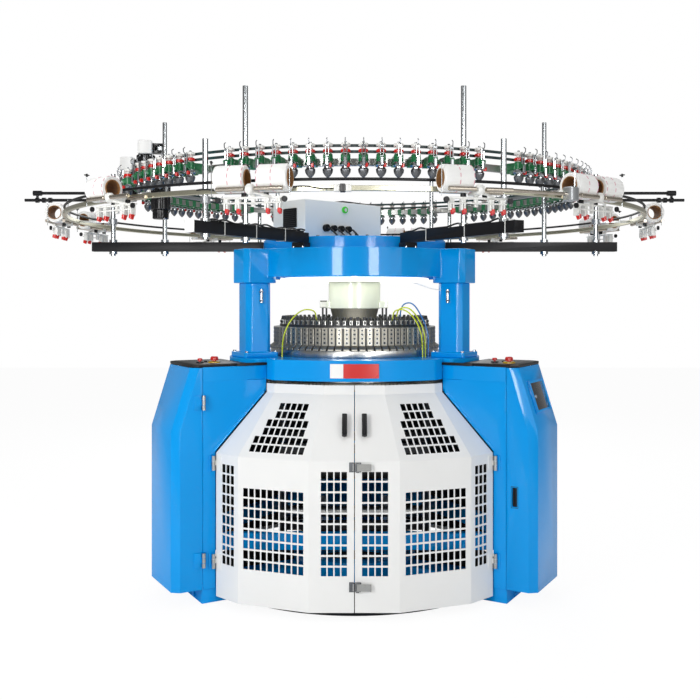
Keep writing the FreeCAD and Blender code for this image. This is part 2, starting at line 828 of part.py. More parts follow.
def front_door(right):
    """One leaf with its hinge halves, handle, and its part of the two toggle latches."""
    leaf, low, high = door_leaf()
    parts = [leaf] + [door_hinge_half(low, middle) for middle in door_hinge_heights] + door_handle()
    for middle in latch_heights:
        low_z, high_z = middle - latch_height / 2, middle + latch_height / 2
        y = -door_low_y
        if right:
            plate = block(3.0, 30.0, y - latch_plate, y, low_z, high_z)
            ears = [block(6.0, 22.0, y - latch_plate - 12.0, y - latch_plate, z, z + 4.0)
                    for z in (low_z, high_z - 4.0)]
            bracket = joined([plate] + ears)
            x, axis_y = latch_axis()
            parts.append(bracket.cut(disc(3.0 + running_fit, low_z - 1, high_z + 1, x, axis_y)))
        else:
            catch = block(3.0, 24.0, y - latch_plate, y, low_z, high_z)
            lip = block(3.0, 8.0, y - latch_plate - 9.0, y - latch_plate, low_z + 8.0, high_z - 8.0)
            parts.append(joined([catch, lip]))
    return parts if right else [mirrored(part) for part in parts]


def latch_axis():
    return 14.0, -door_low_y - latch_plate - 7.0


def latch_lever(middle):
    """Chrome lever on its own pin between the bracket's ears."""
    x, y = latch_axis()
    low_z, high_z = middle - latch_height / 2, middle + latch_height / 2
    pin = disc(3.0, low_z, high_z, x, y)
    barrel = disc(5.0, low_z + 4.5, high_z - 4.5, x, y)
    tongue = block(x, x + latch_lever_length, y - 5.0, y - 2.0, low_z + 6.0, high_z - 6.0)
    lip = block(x + latch_lever_length - 4.0, x + latch_lever_length, y - 10.0, y - 2.0,
                low_z + 6.0, high_z - 6.0)
    return joined([pin, barrel, tongue, lip])


def rear_guards():
    """Fixed folded guards between the rear leg and each front leg, flanged to the legs' sides."""
    end_s = leg_half_width + sheet
    low = fold_points(door_low_y, door_low_half, door_low_side, end_s)
    high = fold_points(door_high_y, door_high_half, door_high_side, end_s)
    half = folded_leaf(low, high, True)
    whole = joined([half, mirrored(half)])
    return [turned(whole, 120.0), turned(whole, -120.0)]


def cover_path(shift):
    """Outer line of a cabinet cover in plan; shift moves its outer part inwards."""
    seam = leg_seam_r + cover_seam_gap
    half = [(seam, -leg_half_width), (cover_bevel_r - shift, -leg_half_width),
            (cover_outer_r - shift, -cover_bevel_s)]
    return half + [(r, -s) for r, s in half[::-1]]


def latch_opening(grow, low_s, high_s):
    """A block in the cover's near side at the latch, grown on every edge by an amount."""
    start = leg_seam_r + latch_recess_start
    half = latch_recess_height / 2 + grow
    return block(start - grow, start + latch_recess_width + grow, -leg_half_width + low_s,
                 -leg_half_width + high_s, latch_recess_z - half, latch_recess_z + half)


def latch_cup():
    """Open cup of the recessed latch, with the brim that holds it behind the sheet."""
    inside = latch_opening(-cup_wall, -1, cup_depth - cup_wall)
    cup = latch_opening(-recess_fit, 0, cup_depth).cut(inside)
    brim = latch_opening(cup_wall, cover_sheet, cup_depth)
    return joined([cup, brim.cut(latch_opening(-recess_fit, 0, cup_depth + 1))])


def window_block(inset, low, high):
    """A block across the control window, inset from its outer size, from one depth to another."""
    half_w, half_h = window_width / 2 - inset, window_height / 2 - inset
    return block(low, high, -half_w, half_w, -half_h, half_h)


def cabinet_cover(azimuth, window):
    """Folded cover over the open side of a leg, with its hinge halves and latch recess."""
    top = leg_top_z - cover_top_gap
    low, high = strip(cover_path(0.0), cover_sheet), strip(cover_path(cover_slope_in), cover_sheet)
    wall = prism(low, foot_height + cover_top_gap, cover_kink_z)
    shell = joined([wall, loft(low, cover_kink_z, high, top)])
    tilt = math.atan2(cover_slope_in, top - cover_kink_z)
    if window:
        shell = shell.cut(on_slope(window_block(window_inset, -window_depth, window_depth), tilt))
    shell = shell.cut(latch_opening(0, -1, cover_sheet + 1))
    parts = [shell, latch_cup()] + [cover_hinge_half(middle) for middle in cabinet_hinge_heights]
    if window:
        clear = window_block(window_inset - window_lip, -1, window_frame + 1)
        frame = window_block(0, 0, window_frame).cut(clear)
        tray = window_block(window_inset, -window_depth, 0)
        tray = tray.cut(window_block(window_inset + 1.0, -window_depth / 2, 1))
        parts += [on_slope(frame, tilt), on_slope(tray, tilt)]
    return [turned(part, azimuth) for part in parts]


def on_slope(shape, tilt):
    """Moves a shape drawn about the origin (X outward, Z up) onto the cover's sloping face."""
    placed = shape.copy()
    placed.rotate(vec(0, 0, 0), vec(0, 1, 0), -math.degrees(tilt))
    run = cover_slope_in * window_rise / (leg_top_z - cover_top_gap - cover_kink_z)
    placed.translate(vec(cover_outer_r - run, 0, cover_kink_z + window_rise))
    return placed


def window_cover(azimuth):
    """Clear flap over the control window, on a barrel along its far edge, with a small knob."""
    tilt = math.atan2(cover_slope_in, leg_top_z - cover_top_gap - cover_kink_z)
    low = window_frame + seat_gap
    high = low + flap_thickness
    half_w, half_h = window_width / 2 - 2.0, window_height / 2 - 2.0
    flap = block(low, high, -half_w, half_w, -half_h, half_h)
    barrel = disc(flap_barrel_r, -half_h, half_h, low + flap_barrel_r, half_w + 1.0)
    knob_s = -half_w + window_inset
    knob = rod((high, knob_s, 0.0), (high + window_frame, knob_s, 0.0), window_frame)
    return turned(on_slope(joined([flap, barrel, knob]), tilt), azimuth)


def cover_hinge_axis():
    return leg_seam_r + 1.0, leg_half_width + hinge_offset()


def cover_hinge_half(middle):
    low, first, second, high = hinge_levels(middle)
    x, y = cover_hinge_axis()
    side = leg_half_width
    plate = block(x + 8.0, x + 44.0, side, side + hinge_plate, low, high)
    web = block(x + 3.0, x + hinge_knuckle_r, side + hinge_clear, y,
                first + hinge_clear, second - hinge_clear)
    foot = block(x + 3.0, x + 12.0, side + hinge_clear, side + hinge_plate,
                 first + hinge_clear, second - hinge_clear)
    knuckle = disc(hinge_knuckle_r, first + hinge_clear, second - hinge_clear, x, y)
    half = joined([plate, web, foot, knuckle])
    return half.cut(disc(hinge_pin_r + running_fit, first, second, x, y))


def hinge_pins():
    """Fixed hinge halves with their pins: two beside each door and two on each cabinet's seam."""
    front_left, front_right = leg_azimuths["front_left"], leg_azimuths["front_right"]
    halves = []
    for middle in door_hinge_heights:
        halves.append(turned(fixed_hinge(door_hinge_axis()[0], -1, 1, middle), front_right))
        halves.append(turned(fixed_hinge(door_hinge_axis()[0], 1, 1, middle), front_left))
    for middle in cabinet_hinge_heights:
        half = fixed_hinge(cover_hinge_axis()[0], 1, -1, middle)
        halves += [turned(half, front_right), turned(half, front_left)]
    return halves


# ---------------------------------------------------------------- knitting head
def gear_outline(teeth, phase, x=0.0, y=0.0):
    """Straight-flanked teeth with backlash: parallel below the pitch circle, narrowing above it."""
    pitch_r = gear_module * teeth / 2
    half = math.pi * gear_module / 4 - gear_backlash / 2
    tip_half = half - 0.8 * gear_module * math.tan(math.radians(20))
    root_r, tip_r = pitch_r - 1.1 * gear_module, pitch_r + 0.8 * gear_module
    corners = ((root_r, -half), (pitch_r, -half), (tip_r, -tip_half), (tip_r, tip_half), (pitch_r, half),
               (root_r, half))
    points = []
    for tooth in range(teeth):
        turn = math.radians(phase + tooth * 360.0 / teeth)
        for r, s in corners:
            points.append((x + r * math.cos(turn) - s * math.sin(turn),
                           y + r * math.sin(turn) + s * math.cos(turn)))
    return points


def ring_gear():
    top = bed_bottom_z - gear_drop
    teeth = prism(gear_outline(gear_teeth, leg_azimuths["front_left"]), top - gear_thickness, top)
    return teeth.cut(disc(cylinder_r - cylinder_wall, top - gear_thickness - 1, top + 1))


def needle_cylinder():
    """Grooved needle cylinder on its carrier tube, which turns in the main bearing."""
    bottom = bed_bottom_z - gear_drop
    carrier = disc(carrier_r, bottom, carrier_top_z)
    upper = disc(cylinder_r, carrier_top_z, cylinder_top_z)
    return joined([carrier, upper]).cut(disc(cylinder_r - cylinder_wall, bottom - 1, cylinder_top_z + 1))


def main_bearing():
    return ring(bed_bore_r - 0.05, carrier_r + running_fit, bearing_low_z, bearing_high_z)


def cam_ring_base():
    inner = cylinder_r + cam_base_clearance
    return ring(cam_base_outer_r, inner, bed_top_z, bed_top_z + cam_base_height)


def cam_boxes():
    """Blocks around the needle cylinder, flared at the foot, with a screw-plate on each face."""
    low = bed_top_z + cam_base_height
    outline = [(cam_box_inner_r, low), (cam_box_foot_r, low), (cam_box_foot_r, low + cam_box_foot),
               (cam_box_face_r, low + cam_box_foot + cam_box_flare), (cam_box_face_r, cam_box_top_z),
               (cam_box_inner_r, cam_box_top_z)]
    body = side_prism(outline, -cam_box_width / 2, cam_box_width / 2)
    middle = (low + cam_box_foot + cam_box_flare + cam_box_top_z) / 2
    slot = block(cam_box_face_r - 4.0, cam_box_face_r + 1, -4.0, 4.0, middle - 14.0, middle + 14.0)
    body = body.cut(slot)
    return [turned(body, index * 360.0 / cam_box_count) for index in range(cam_box_count)]


def dial_low_z():
    return cylinder_top_z + dial_gap


def cam_plate_low_z():
    return dial_low_z() + dial_thickness + cam_plate_gap


def dial():
    """Dial disc and its shaft, which turns in the dial housing's neck."""
    low = dial_low_z()
    return joined([disc(dial_r, low, low + dial_thickness), disc(dial_shaft_r, low, dial_shaft_top)])


def dial_cam_plate():
    low = cam_plate_low_z()
    top = low + cam_plate_thickness
    plate = ring(cam_plate_r, dial_shaft_r + 4.0, low, top)
    knobs = []
    for index in range(knob_count):
        x, y = on_circle(knob_ring_r, (index + 0.5) * 360.0 / knob_count)
        knobs.append(disc(knob_r, top, top + knob_height, x, y))
    middle = cam_plate_r - knob_rail_inset
    inner = ring(middle + knob_rail_half, middle - knob_rail_half, top, top + knob_rail_height)
    return joined([plate, inner] + knobs)


def dial_housing():
    """Flanged housing from the crown's hub down to the cam plate, with the dial shaft's bearing."""
    low = cam_plate_low_z() + cam_plate_thickness
    neck_top = low + housing_neck_height
    parts = [disc(housing_neck_r, low, neck_top), disc(housing_r, neck_top, ring_bottom_z),
             disc(housing_flange_r, ring_bottom_z - housing_flange, ring_bottom_z)]
    for side in (-1, 1):
        low_x, high_x = sorted((side * (housing_neck_r - 20.0), side * (housing_neck_r + 60.0)))
        parts.append(block(low_x, high_x, -28.0, 28.0, neck_top - 26.0, neck_top))
        low_x, high_x = sorted((side * (housing_neck_r + 30.0), side * (housing_neck_r + 50.0)))
        parts.append(block(low_x, high_x, -10.0, 10.0, low, neck_top - 26.0))
    body = joined(parts)
    body = body.cut(disc(dial_shaft_r + running_fit, low - 1, neck_top + 1))
    return body.cut(disc(crown_hub_bore_r, neck_top, ring_bottom_z + 1))


# ---------------------------------------------------------------- drive in the front left leg
def drive_point(radius):
    return on_circle(radius, leg_azimuths["front_left"])


def drive_shaft():
    """Pinion, shaft and toothed pulley on one axis beside the ring gear."""
    x, y = drive_point(gear_centre_r)
    top = bed_bottom_z - gear_drop
    phase = leg_azimuths["front_left"] - 180.0 + 180.0 / pinion_teeth
    pinion = prism(gear_outline(pinion_teeth, phase, x, y), top - gear_thickness, top)
    shaft = disc(drive_shaft_r, pulley_top_z - pulley_width, bed_bottom_z + 58.0, x, y)
    pulley = disc(driven_pulley_r, pulley_top_z - pulley_width, pulley_top_z, x, y)
    return joined([pinion, shaft, pulley])


def shaft_bearing():
    """Flanged bearing under the bed, around the drive shaft."""
    x, y = drive_point(gear_centre_r)
    low = bed_bottom_z - gear_drop + shaft_bearing_cap
    return ring(shaft_bearing_r, drive_shaft_r + running_fit, low, bed_bottom_z, x, y)


def motor_pulley():
    x, y = drive_point(motor_r)
    low = pulley_top_z - pulley_width
    shaft = disc(motor_shaft_r, low - 58.0, low, x, y)
    return joined([disc(motor_pulley_r, low, pulley_top_z, x, y), shaft])


def drive_belt():
    """Toothed belt round both pulleys, with a little clearance to each."""
    middle = pulley_top_z - pulley_width / 2
    low, high = middle - belt_width / 2, middle + belt_width / 2
    loops = []
    for extra in (seat_gap, seat_gap + belt_thickness):
        first, second = driven_pulley_r + extra, motor_pulley_r + extra
        start, stop = gear_centre_r, motor_r
        lean = math.asin((first - second) / (stop - start))
        sin, cos = math.sin(lean), math.cos(lean)
        near, far = start + first * sin, stop + second * sin
        body = prism([(near, first * cos), (near, -first * cos), (far, -second * cos), (far, second * cos)],
                     low, high)
        loops.append(body.fuse([disc(first, low, high, start, 0), disc(second, low, high, stop, 0)]))
    return turned(loops[1].cut(loops[0]).removeSplitter(), leg_azimuths["front_left"])


def main_motor():
    """Motor with cooling ribs, hung by its flange from a plate across the leg."""
    x = motor_r
    top = pulley_top_z - pulley_width - motor_plate_gap
    low = top - motor_plate
    side = leg_half_width - leg_wall
    reach = motor_body_r + motor_plate_edge
    run, rise = leg_inner_r - leg_throat_r, leg_throat_z - leg_slope_z
    slope_r = leg_inner_r - run * (top - leg_slope_z) / rise
    plate = block(slope_r + motor_plate_clear, leg_seam_r - 4.0, -side, side, low, top)
    nose = block(leg_seam_r - 5.0, x + reach, -reach, reach, low, top)
    plate = joined([plate, nose]).cut(disc(motor_shaft_r + 2.0, low - 1, top + 1, x, 0))
    body = disc(motor_body_r, low - motor_length, low, x, 0)
    ribs = []
    for index in range(motor_ribs):
        rib_top = low - motor_rib_start - index * motor_rib_pitch
        ribs.append(disc(motor_body_r + motor_rib, rib_top - motor_rib, rib_top, x, 0))
    half = motor_box_side / 2
    box = block(x - half, x + half, -motor_body_r - half, -motor_body_r + half / 2,
                low - motor_box_low, low - motor_box_low + motor_box_tall)
    body = joined([body] + ribs + [box])
    body = body.cut(disc(motor_shaft_r + running_fit, low - motor_bore_depth, low + 1, x, 0))
    return [turned(plate, leg_azimuths["front_left"]), turned(body, leg_azimuths["front_left"])]


def switch_panel():
    """Mounting plate with switchgear boxes, standing on the floor of the front right cabinet."""
    low = foot_height + leg_wall
    face = leg_inner_r + panel_back + panel_sheet
    half = panel_half_width
    parts = [block(face - panel_sheet, face, -half, half, low, low + panel_height)]
    for start, depth, height in panel_boxes:
        for low_s, high_s in ((-0.85, -0.05), (0.1, 0.9)):
            row_low, row_high = low + start * panel_height, low + (start + height) * panel_height
            parts.append(block(face, face + depth * panel_height, low_s * panel_half_width,
                               high_s * panel_half_width, row_low, row_high))
    return turned(joined(parts), leg_azimuths["front_right"])


# ---------------------------------------------------------------- take-down, which turns with the cylinder
def takedown_frame():
    """Two side plates hung from the ring gear, narrower at the neck, tied by bars front and rear."""
    top = bed_bottom_z - gear_drop - gear_thickness
    low = top - takedown_plate - 2.0
    flange = ring(takedown_r + takedown_flange, takedown_r - takedown_flange, low, top)
    parts = [flange]
    neck, wide = takedown_neck, takedown_half_depth
    outline = [(-wide, takedown_bottom_z), (wide, takedown_bottom_z), (wide, takedown_neck_z),
               (neck, takedown_neck_z + wide - neck), (neck, top - 10.0), (-neck, top - 10.0),
               (-neck, takedown_neck_z + wide - neck), (-wide, takedown_neck_z)]
    for side in (-1, 1):
        low_x, high_x = sorted((side * takedown_half_gap, side * (takedown_half_gap + takedown_plate)))
        wire = Part.makePolygon([vec(low_x, y, z) for y, z in outline + [outline[0]]])
        plate = Part.Face(wire).extrude(vec(high_x - low_x, 0, 0))
        window = block(low_x - 1, high_x + 1, -neck + takedown_bar, neck - takedown_bar,
                       takedown_neck_z + takedown_bar, top - 90.0)
        parts.append(plate.cut(window))
    span = takedown_half_gap + 2.0
    bar = takedown_bar / 2
    for y in (-wide + bar, wide - bar):
        for z in (takedown_bottom_z, takedown_neck_z - takedown_bar):
            parts.append(block(-span, span, y - bar, y + bar, z, z + takedown_bar))
    body = joined(parts)
    for y, z in roller_places():
        start, stop = (-span - takedown_bar, y, z), (span + takedown_bar, y, z)
        body = body.cut(rod(start, stop, roller_pin_r + running_fit))
    return body


def roller_places():
    """Axes of the two draw rollers and the cloth bar, as tangent and height."""
    gap = draw_roller_r + 1.0
    return (-gap, draw_roller_z), (gap, draw_roller_z), (0.0, cloth_bar_z)


def takedown_roller(place, radius):
    """Roller across the take-down, with pins in both plates and a round end wheel outside one."""
    y, z = place
    inner = takedown_half_gap - 2.0
    outer = takedown_half_gap + takedown_plate
    body = rod((-inner, y, z), (inner, y, z), radius)
    pins = rod((-outer - 16.0, y, z), (outer + 16.0, y, z), roller_pin_r)
    wheel = rod((outer + 2.0, y, z), (outer + 14.0, y, z), radius - 3.0)
    return joined([body, pins, wheel])


# ---------------------------------------------------------------- crown: beams, poles and rings
def spokes():
    """Azimuth, height and end of each radial beam with the radii of its two poles."""
    rows = []
    for azimuth in (240.0, 300.0, 60.0, 120.0):
        rows.append((azimuth, front_spoke_z, front_spoke_end, front_tall_r, front_short_r))
    for azimuth in (0.0, 180.0):
        rows.append((azimuth, side_spoke_z, side_spoke_end, side_tall_r, side_short_r))
    return rows


def crown_beams():
    """Square tubes with closed ends, each on a foot block on the crown's deck."""
    beams = []
    half = spoke_size / 2
    for azimuth, z, end, tall_r, short_r in spokes():
        start = tier_r + 4.0
        inner = half - spoke_wall
        tube = block(start, end, -half, half, z - half, z + half)
        tube = tube.cut(block(start + spoke_wall, end - spoke_wall, -inner, inner, z - inner, z + inner))
        foot = block(spoke_start_r, spoke_foot_r, -35.0, 35.0, ring_top_z, z - half)
        body = joined([tube, foot])
        for radius in (tall_r, short_r):
            body = body.cut(disc(pole_r + running_fit, z - half - 1, z + half + 1, radius, 0))
        beams.append(turned(body, azimuth))
    return beams


def pole(azimuth, radius, z, top):
    """Chrome rod through a beam, with a nut above and below."""
    half = spoke_size / 2
    parts = [disc(pole_r, z - half - nut_height - 10.0, top, radius, 0),
             disc(nut_r, z - half - nut_height, z - half, radius, 0),
             disc(nut_r, z + half, z + half + nut_height, radius, 0)]
    return turned(joined(parts), azimuth)


def poles():
    rows = []
    for azimuth, z, _, tall_r, short_r in spokes():
        rows.append(pole(azimuth, tall_r, z, tall_pole_top))
        rows.append(pole(azimuth, short_r, z, short_pole_top))
    return rows


def clamp_arm(azimuth, radius, reach_r, z, height, width):
    """Split clamp on a pole with an arm along the radius to reach_r."""
    outer = pole_r + clamp_wall
    low_r, high_r = sorted((radius, reach_r))
    arm = block(low_r, high_r, -width / 2, width / 2, z - height / 2, z + height / 2)
    collar = disc(outer, z - clamp_height / 2, z + clamp_height / 2, radius, 0)
    whole = joined([collar, arm]).cut(disc(pole_r + running_fit, z - 50.0, z + 50.0, radius, 0))
    return turned(whole, azimuth)


def feeder_rail():
    """Rail ring on arms from the tall and short poles."""
    low, high = feeder_rail_z - feeder_rail_height / 2, feeder_rail_z + feeder_rail_height / 2
    inner, outer = feeder_rail_r - feeder_rail_width / 2, feeder_rail_r + feeder_rail_width / 2
    parts = ring_segments(outer, inner, low, high, 12)
    for azimuth, _, _, tall_r, short_r in spokes():
        parts.append(clamp_arm(azimuth, tall_r, inner - rail_gap, feeder_rail_z, 20.0, 16.0))
    return parts


def feeder_azimuths():
    """Evenly spaced feeders, without the places at the poles and the belt motors."""
    step = 360.0 / feeder_count
    taken = [row[0] for row in spokes()] + [row[0] for row in motor_places()]
    kept = []
    for index in range(feeder_count):
        azimuth = (index + 0.5) * step
        gaps = [abs((azimuth - other + 180.0) % 360.0 - 180.0) for other in taken]
        if min(gaps) > step * 0.9:
            kept.append(azimuth)
    return kept


def feeder_body():
    """Cast body clamped on the rail, reaching outwards, with a nose under it."""
    rail_outer = feeder_rail_r + feeder_rail_width / 2
    low = feeder_rail_z - feeder_body_height / 2
    high = feeder_rail_z + feeder_body_height / 2
    end = rail_outer + feeder_reach
    nose = low - feeder_tip
    points = [(rail_outer, nose), (rail_outer + feeder_nose, nose), (end - feeder_taper, low + feeder_rise),
              (end, low + feeder_rise + 4.0), (end, high - feeder_round), (end - 2 * feeder_round, high),
              (rail_outer, high)]
    return side_prism(points, -feeder_body_width / 2, feeder_body_width / 2)


def feeder_parts():
    """One feeder: body, belt wheels on their axle, and the spool with its wire basket below."""
    low = feeder_rail_z - feeder_body_height / 2
    high = feeder_rail_z + feeder_body_height / 2
    x = feeder_axis_r
    half = feeder_wheel_thickness / 2
    cap = disc(5.0, high, high + feeder_wheel_height + 8.0, x, 0)
    wheels = [disc(feeder_wheel_r, z - half, z + half, x, 0) for z in (upper_belt_z, lower_belt_z)]
    edge = x + feeder_wheel_r + 3.0
    guide = block(edge, edge + guide_thickness, -guide_half_width, guide_half_width,
                  high - feeder_tip, high + guide_height)
    top = low + 8.0
    collar = disc(feeder_spool_r + 4.0, top - feeder_collar, top, x, 0)
    cone_low = top - feeder_collar - feeder_spool_length
    cone = Part.makeCone(feeder_spool_r - 7.0, feeder_spool_r, feeder_spool_length, vec(x, 0, cone_low))
    tip = disc(feeder_spool_r - 3.0, cone_low - feeder_tip, cone_low, x, 0)
    reach = 3 * feeder_wheel_r
    room = block(x - reach, x + reach, -reach, reach, low - reach, top)
    return joined([feeder_body(), guide]).cut(room), joined([cap] + wheels), joined([collar, cone, tip])


def feeders():
    body, wheel, spool = feeder_parts()
    places = feeder_azimuths()
    return [[turned(shape, azimuth) for azimuth in places] for shape in (body, wheel, spool)]


def feeder_belts():
    """Two flat belts that run round the outside of the feeder wheels."""
    inner = feeder_axis_r - feeder_wheel_r - belt_ring_thickness - seat_gap
    belts = []
    for z in (lower_belt_z, upper_belt_z):
        belts += ring_segments(inner + belt_ring_thickness, inner, z - belt_ring_height / 2,
                               z + belt_ring_height / 2, 12)
    return belts


def elastane_rings():
    """Round yarn guide ring and the square rail below it, which carries the roller units."""
    step = 360.0 / ring_parts
    centre, up = vec(0, 0, guide_ring_z), vec(0, 0, 1)
    bend = Part.makeTorus(guide_ring_r, guide_tube_r, centre, up, 0, 360, step)
    tube = [turned(bend, index * step) for index in range(ring_parts)]
    half = elastane_rail_size / 2
    rail = ring_segments(guide_ring_r + half, guide_ring_r - half, elastane_rail_z - half,
                         elastane_rail_z + half, ring_parts)
    return tube + rail


def units():
    """Azimuth of each roller unit with the sides that hold a package (1 is anticlockwise)."""
    front = ((256.0, (-1, 1)), (287.0, (-1,)), (232.0, (-1,)), (308.0, (-1, 1)))
    sides = ((182.0, (1,)), (358.0, (-1,)), (165.0, (-1, 1)), (20.0, (-1, 1)))
    rear = ((128.0, (-1, 1)), (52.0, (1,)), (104.0, (-1, 1)), (76.0, (-1, 1)))
    return front + sides + rear


def elastane_brackets():
    """Arms from the short poles to the rail, posts up to the guide ring, and the unit housings."""
    half = elastane_rail_size / 2
    inner = guide_ring_r - half - rail_gap
    parts = []
    for azimuth, _, _, _, short_r in spokes():
        parts.append(clamp_arm(azimuth, short_r, inner, elastane_rail_z, 16.0, 16.0))
        post = block(guide_ring_r - 5.0, guide_ring_r + 5.0, -5.0, 5.0, elastane_rail_z + half,
                     guide_ring_z - guide_tube_r - rail_gap)
        parts.append(turned(post, azimuth))
    parts += [turned(unit_housing(), azimuth) for azimuth, _ in units()]
    return parts


def unit_housing():
    """Rounded gear case between the rollers, on a short arm from the rail."""
    low_r, high_r = unit_r - unit_depth / 2, unit_r + unit_depth / 2
    corner = unit_half_width * 0.8
    outline = [(low_r, unit_low_z), (high_r, unit_low_z), (high_r, unit_high_z - corner),
               (high_r - corner, unit_high_z), (low_r + corner, unit_high_z), (low_r, unit_high_z - corner)]
    case = side_prism(outline, -unit_half_width, unit_half_width)
    half = elastane_rail_size / 2
    arm_low, arm_high = unit_roller_z - half, elastane_rail_z + half / 2
    arm = block(guide_ring_r + half, low_r + 1.0, -half, half, arm_low, arm_high)
    return joined([case, arm])


def unit_rollers():
    """Two roller pairs of one unit: each pair reaches out sideways from the case."""
    rollers = []
    for side in (-1, 1):
        for offset in (-unit_roller_spread / 2, unit_roller_spread / 2):
            start = (unit_r + offset, side * unit_half_width, unit_roller_z)
            stop = (unit_r + offset, side * (unit_half_width + unit_roller_length), unit_roller_z)
            rollers.append(rod(start, stop, unit_roller_r))
    return rollers


def package_height():
    reach = package_r + unit_roller_r + seat_gap
    return unit_roller_z + math.sqrt(reach * reach - (unit_roller_spread / 2) ** 2)


def coupling_shaft():
    """Shaft from one front right unit's outer roller to a gear block beside the next unit."""
    reach = unit_half_width + unit_roller_length
    first, second = units()[1][0], units()[3][0]
    radius = unit_r + unit_roller_spread / 2
    near, far = -reach - coupling_start, -reach - coupling_start - coupling_length
    rods = []
    for start, stop in ((turned_point(radius, reach, first), turned_point(radius, far, second)),
                        (turned_point(radius, near, second), turned_point(radius, -reach, second))):
        rods.append(rod(start + (unit_roller_z,), stop + (unit_roller_z,), coupling_shaft_r))
    case = block(radius - coupling_half_height, radius + coupling_half_height, far, near,
                 unit_roller_z - coupling_half_height, unit_roller_z + coupling_half_height)
    return joined(rods + [turned(case, second)])


def turned_point(radius, s, azimuth):
    """A point at a radius and a distance along the tangent, in plan."""
    x, y = on_circle(radius, azimuth)
    along = on_circle(s, azimuth + 90.0)
    return x + along[0], y + along[1]


def package_at(side):
    """An elastane package lying on the rollers and the tube that it is wound on."""
    z = package_height()
    start, stop = side * package_start, side * (package_start + package_length)
    wound = rod((unit_r, start, z), (unit_r, stop, z), package_r)
    core = rod((unit_r, start - side * 4.0, z), (unit_r, stop + side * 4.0, z), package_core_r)
    inner = package_core_r - package_core_wall
    bore = rod((unit_r, start - side * 9.0, z), (unit_r, stop + side * 9.0, z), inner)
    hole = rod((unit_r, start - side, z), (unit_r, stop + side, z), package_core_r + 0.05)
    return wound.cut(hole), core.cut(bore)


def unit_sensors():
    """Yarn stop heads on a bar below the rollers, on a bracket from the case."""
    low = unit_low_z - sensor_bar
    reach = unit_half_width + unit_roller_length
    parts = [block(unit_r - sensor_bar, unit_r + sensor_bar, -reach, reach, low, unit_low_z)]
    for s in sensor_places:
        half = sensor_half_width
        parts.append(block(unit_r - half, unit_r + 2 * half, s - half, s + half, low - sensor_drop, low))
        parts.append(disc(sensor_half_width - 2.0, low - sensor_drop - sensor_tip, low - sensor_drop,
                          unit_r + sensor_half_width / 2, s))
    return joined(parts)


def outriggers():
    """Rods that reach out from the side poles, tied near the outer end by a short link."""
    sides = []
    upper_end = outrigger_end - outrigger_step
    for azimuth in (0.0, 180.0):
        start = side_short_r + pole_r + clamp_wall - 2.0
        parts = []
        for z, end in ((outrigger_upper_z, upper_end), (outrigger_lower_z, outrigger_end)):
            clamp = ring(pole_r + clamp_wall, pole_r + running_fit, z - outrigger_clamp,
                         z + outrigger_clamp, side_short_r, 0)
            parts.append(joined([clamp, rod((start, 0, z), (end, 0, z), outrigger_r)]))
        low_z, high_z = outrigger_lower_z, outrigger_upper_z
        link_r = upper_end - outrigger_head / 2 + 1.0
        parts.append(rod((link_r, 0, low_z), (link_r, 0, high_z), outrigger_link_r))
        head_start = link_r - outrigger_head / 2 - 1.0
        parts.append(rod((head_start, 0, high_z), (upper_end, 0, high_z), outrigger_knob_r))
        for offset in outrigger_knobs:
            near, far = link_r + offset - outrigger_knob_half, link_r + offset + outrigger_knob_half
            parts.append(rod((near, 0, low_z), (far, 0, low_z), outrigger_knob_r))
        sides.append(turned(joined(parts), azimuth))
    return sides


def motor_places():
    """Belt motors: azimuth, radius, height of the lower end, and where the rail carries each."""
    places = ((207.3, -56.0, -182.0, "inside"), (187.7, -13.0, feeder_rail_height / 2, "on top"),
              (173.2, 144.0, -26.0, "outside"))
    return [(azimuth, feeder_rail_r + out, feeder_rail_z + up, carried)
            for azimuth, out, up, carried in places]


def belt_motors():
    """Gear box, ribbed motor and inboard belt pulley of each belt drive, on an arm from the rail."""
    pieces = []
    rail_inner = feeder_rail_r - feeder_rail_width / 2 - rail_gap
    rail_outer = feeder_rail_r + feeder_rail_width / 2 + rail_gap
    rib = motor_body_height / 12
    wide = motor_box_half_width
    for azimuth, radius, low, carried in motor_places():
        body_low = low + motor_foot_height
        box_low = body_low + motor_body_height
        box_high = box_low + motor_box_height
        middle = (box_low + box_high) / 2
        parts = [disc(motor_foot_r, low, body_low, radius, 0),
                 disc(belt_motor_r - 3.0, body_low, box_low, radius, 0),
                 block(radius - wide, radius + wide, -motor_box_half_length, motor_box_half_length,
                       box_low, box_high)]
        for index in range(6):
            start = body_low + rib * (2 * index + 0.5)
            parts.append(disc(belt_motor_r, start, start + rib, radius, 0))
        half, face = fork_half_width, radius - wide
        fork_low, fork_high = middle - fork_half_height, middle + fork_half_height
        slot_low, slot_high = middle - fork_slot / 2, middle + fork_slot / 2
        bracket = block(face - fork_reach, face, -half, half, fork_low, fork_high)
        gap = block(face - fork_reach - 1, face - fork_wall, -half - 1, half + 1, slot_low, slot_high)
        parts += [bracket.cut(gap), disc(fork_pulley_r, slot_low, slot_high, radius - 2 * wide, 0)]
        z, arm = feeder_rail_z, rail_arm_half_width
        if carried == "inside":
            parts.append(block(radius + arm, rail_inner, -arm, arm, z - arm / 2, z + arm / 2))
        if carried == "outside":
            parts.append(block(rail_outer, radius - half, -arm, arm, z - 2.0, z + 12.0))
        pieces.append(turned(joined(parts), azimuth))
    return pieces


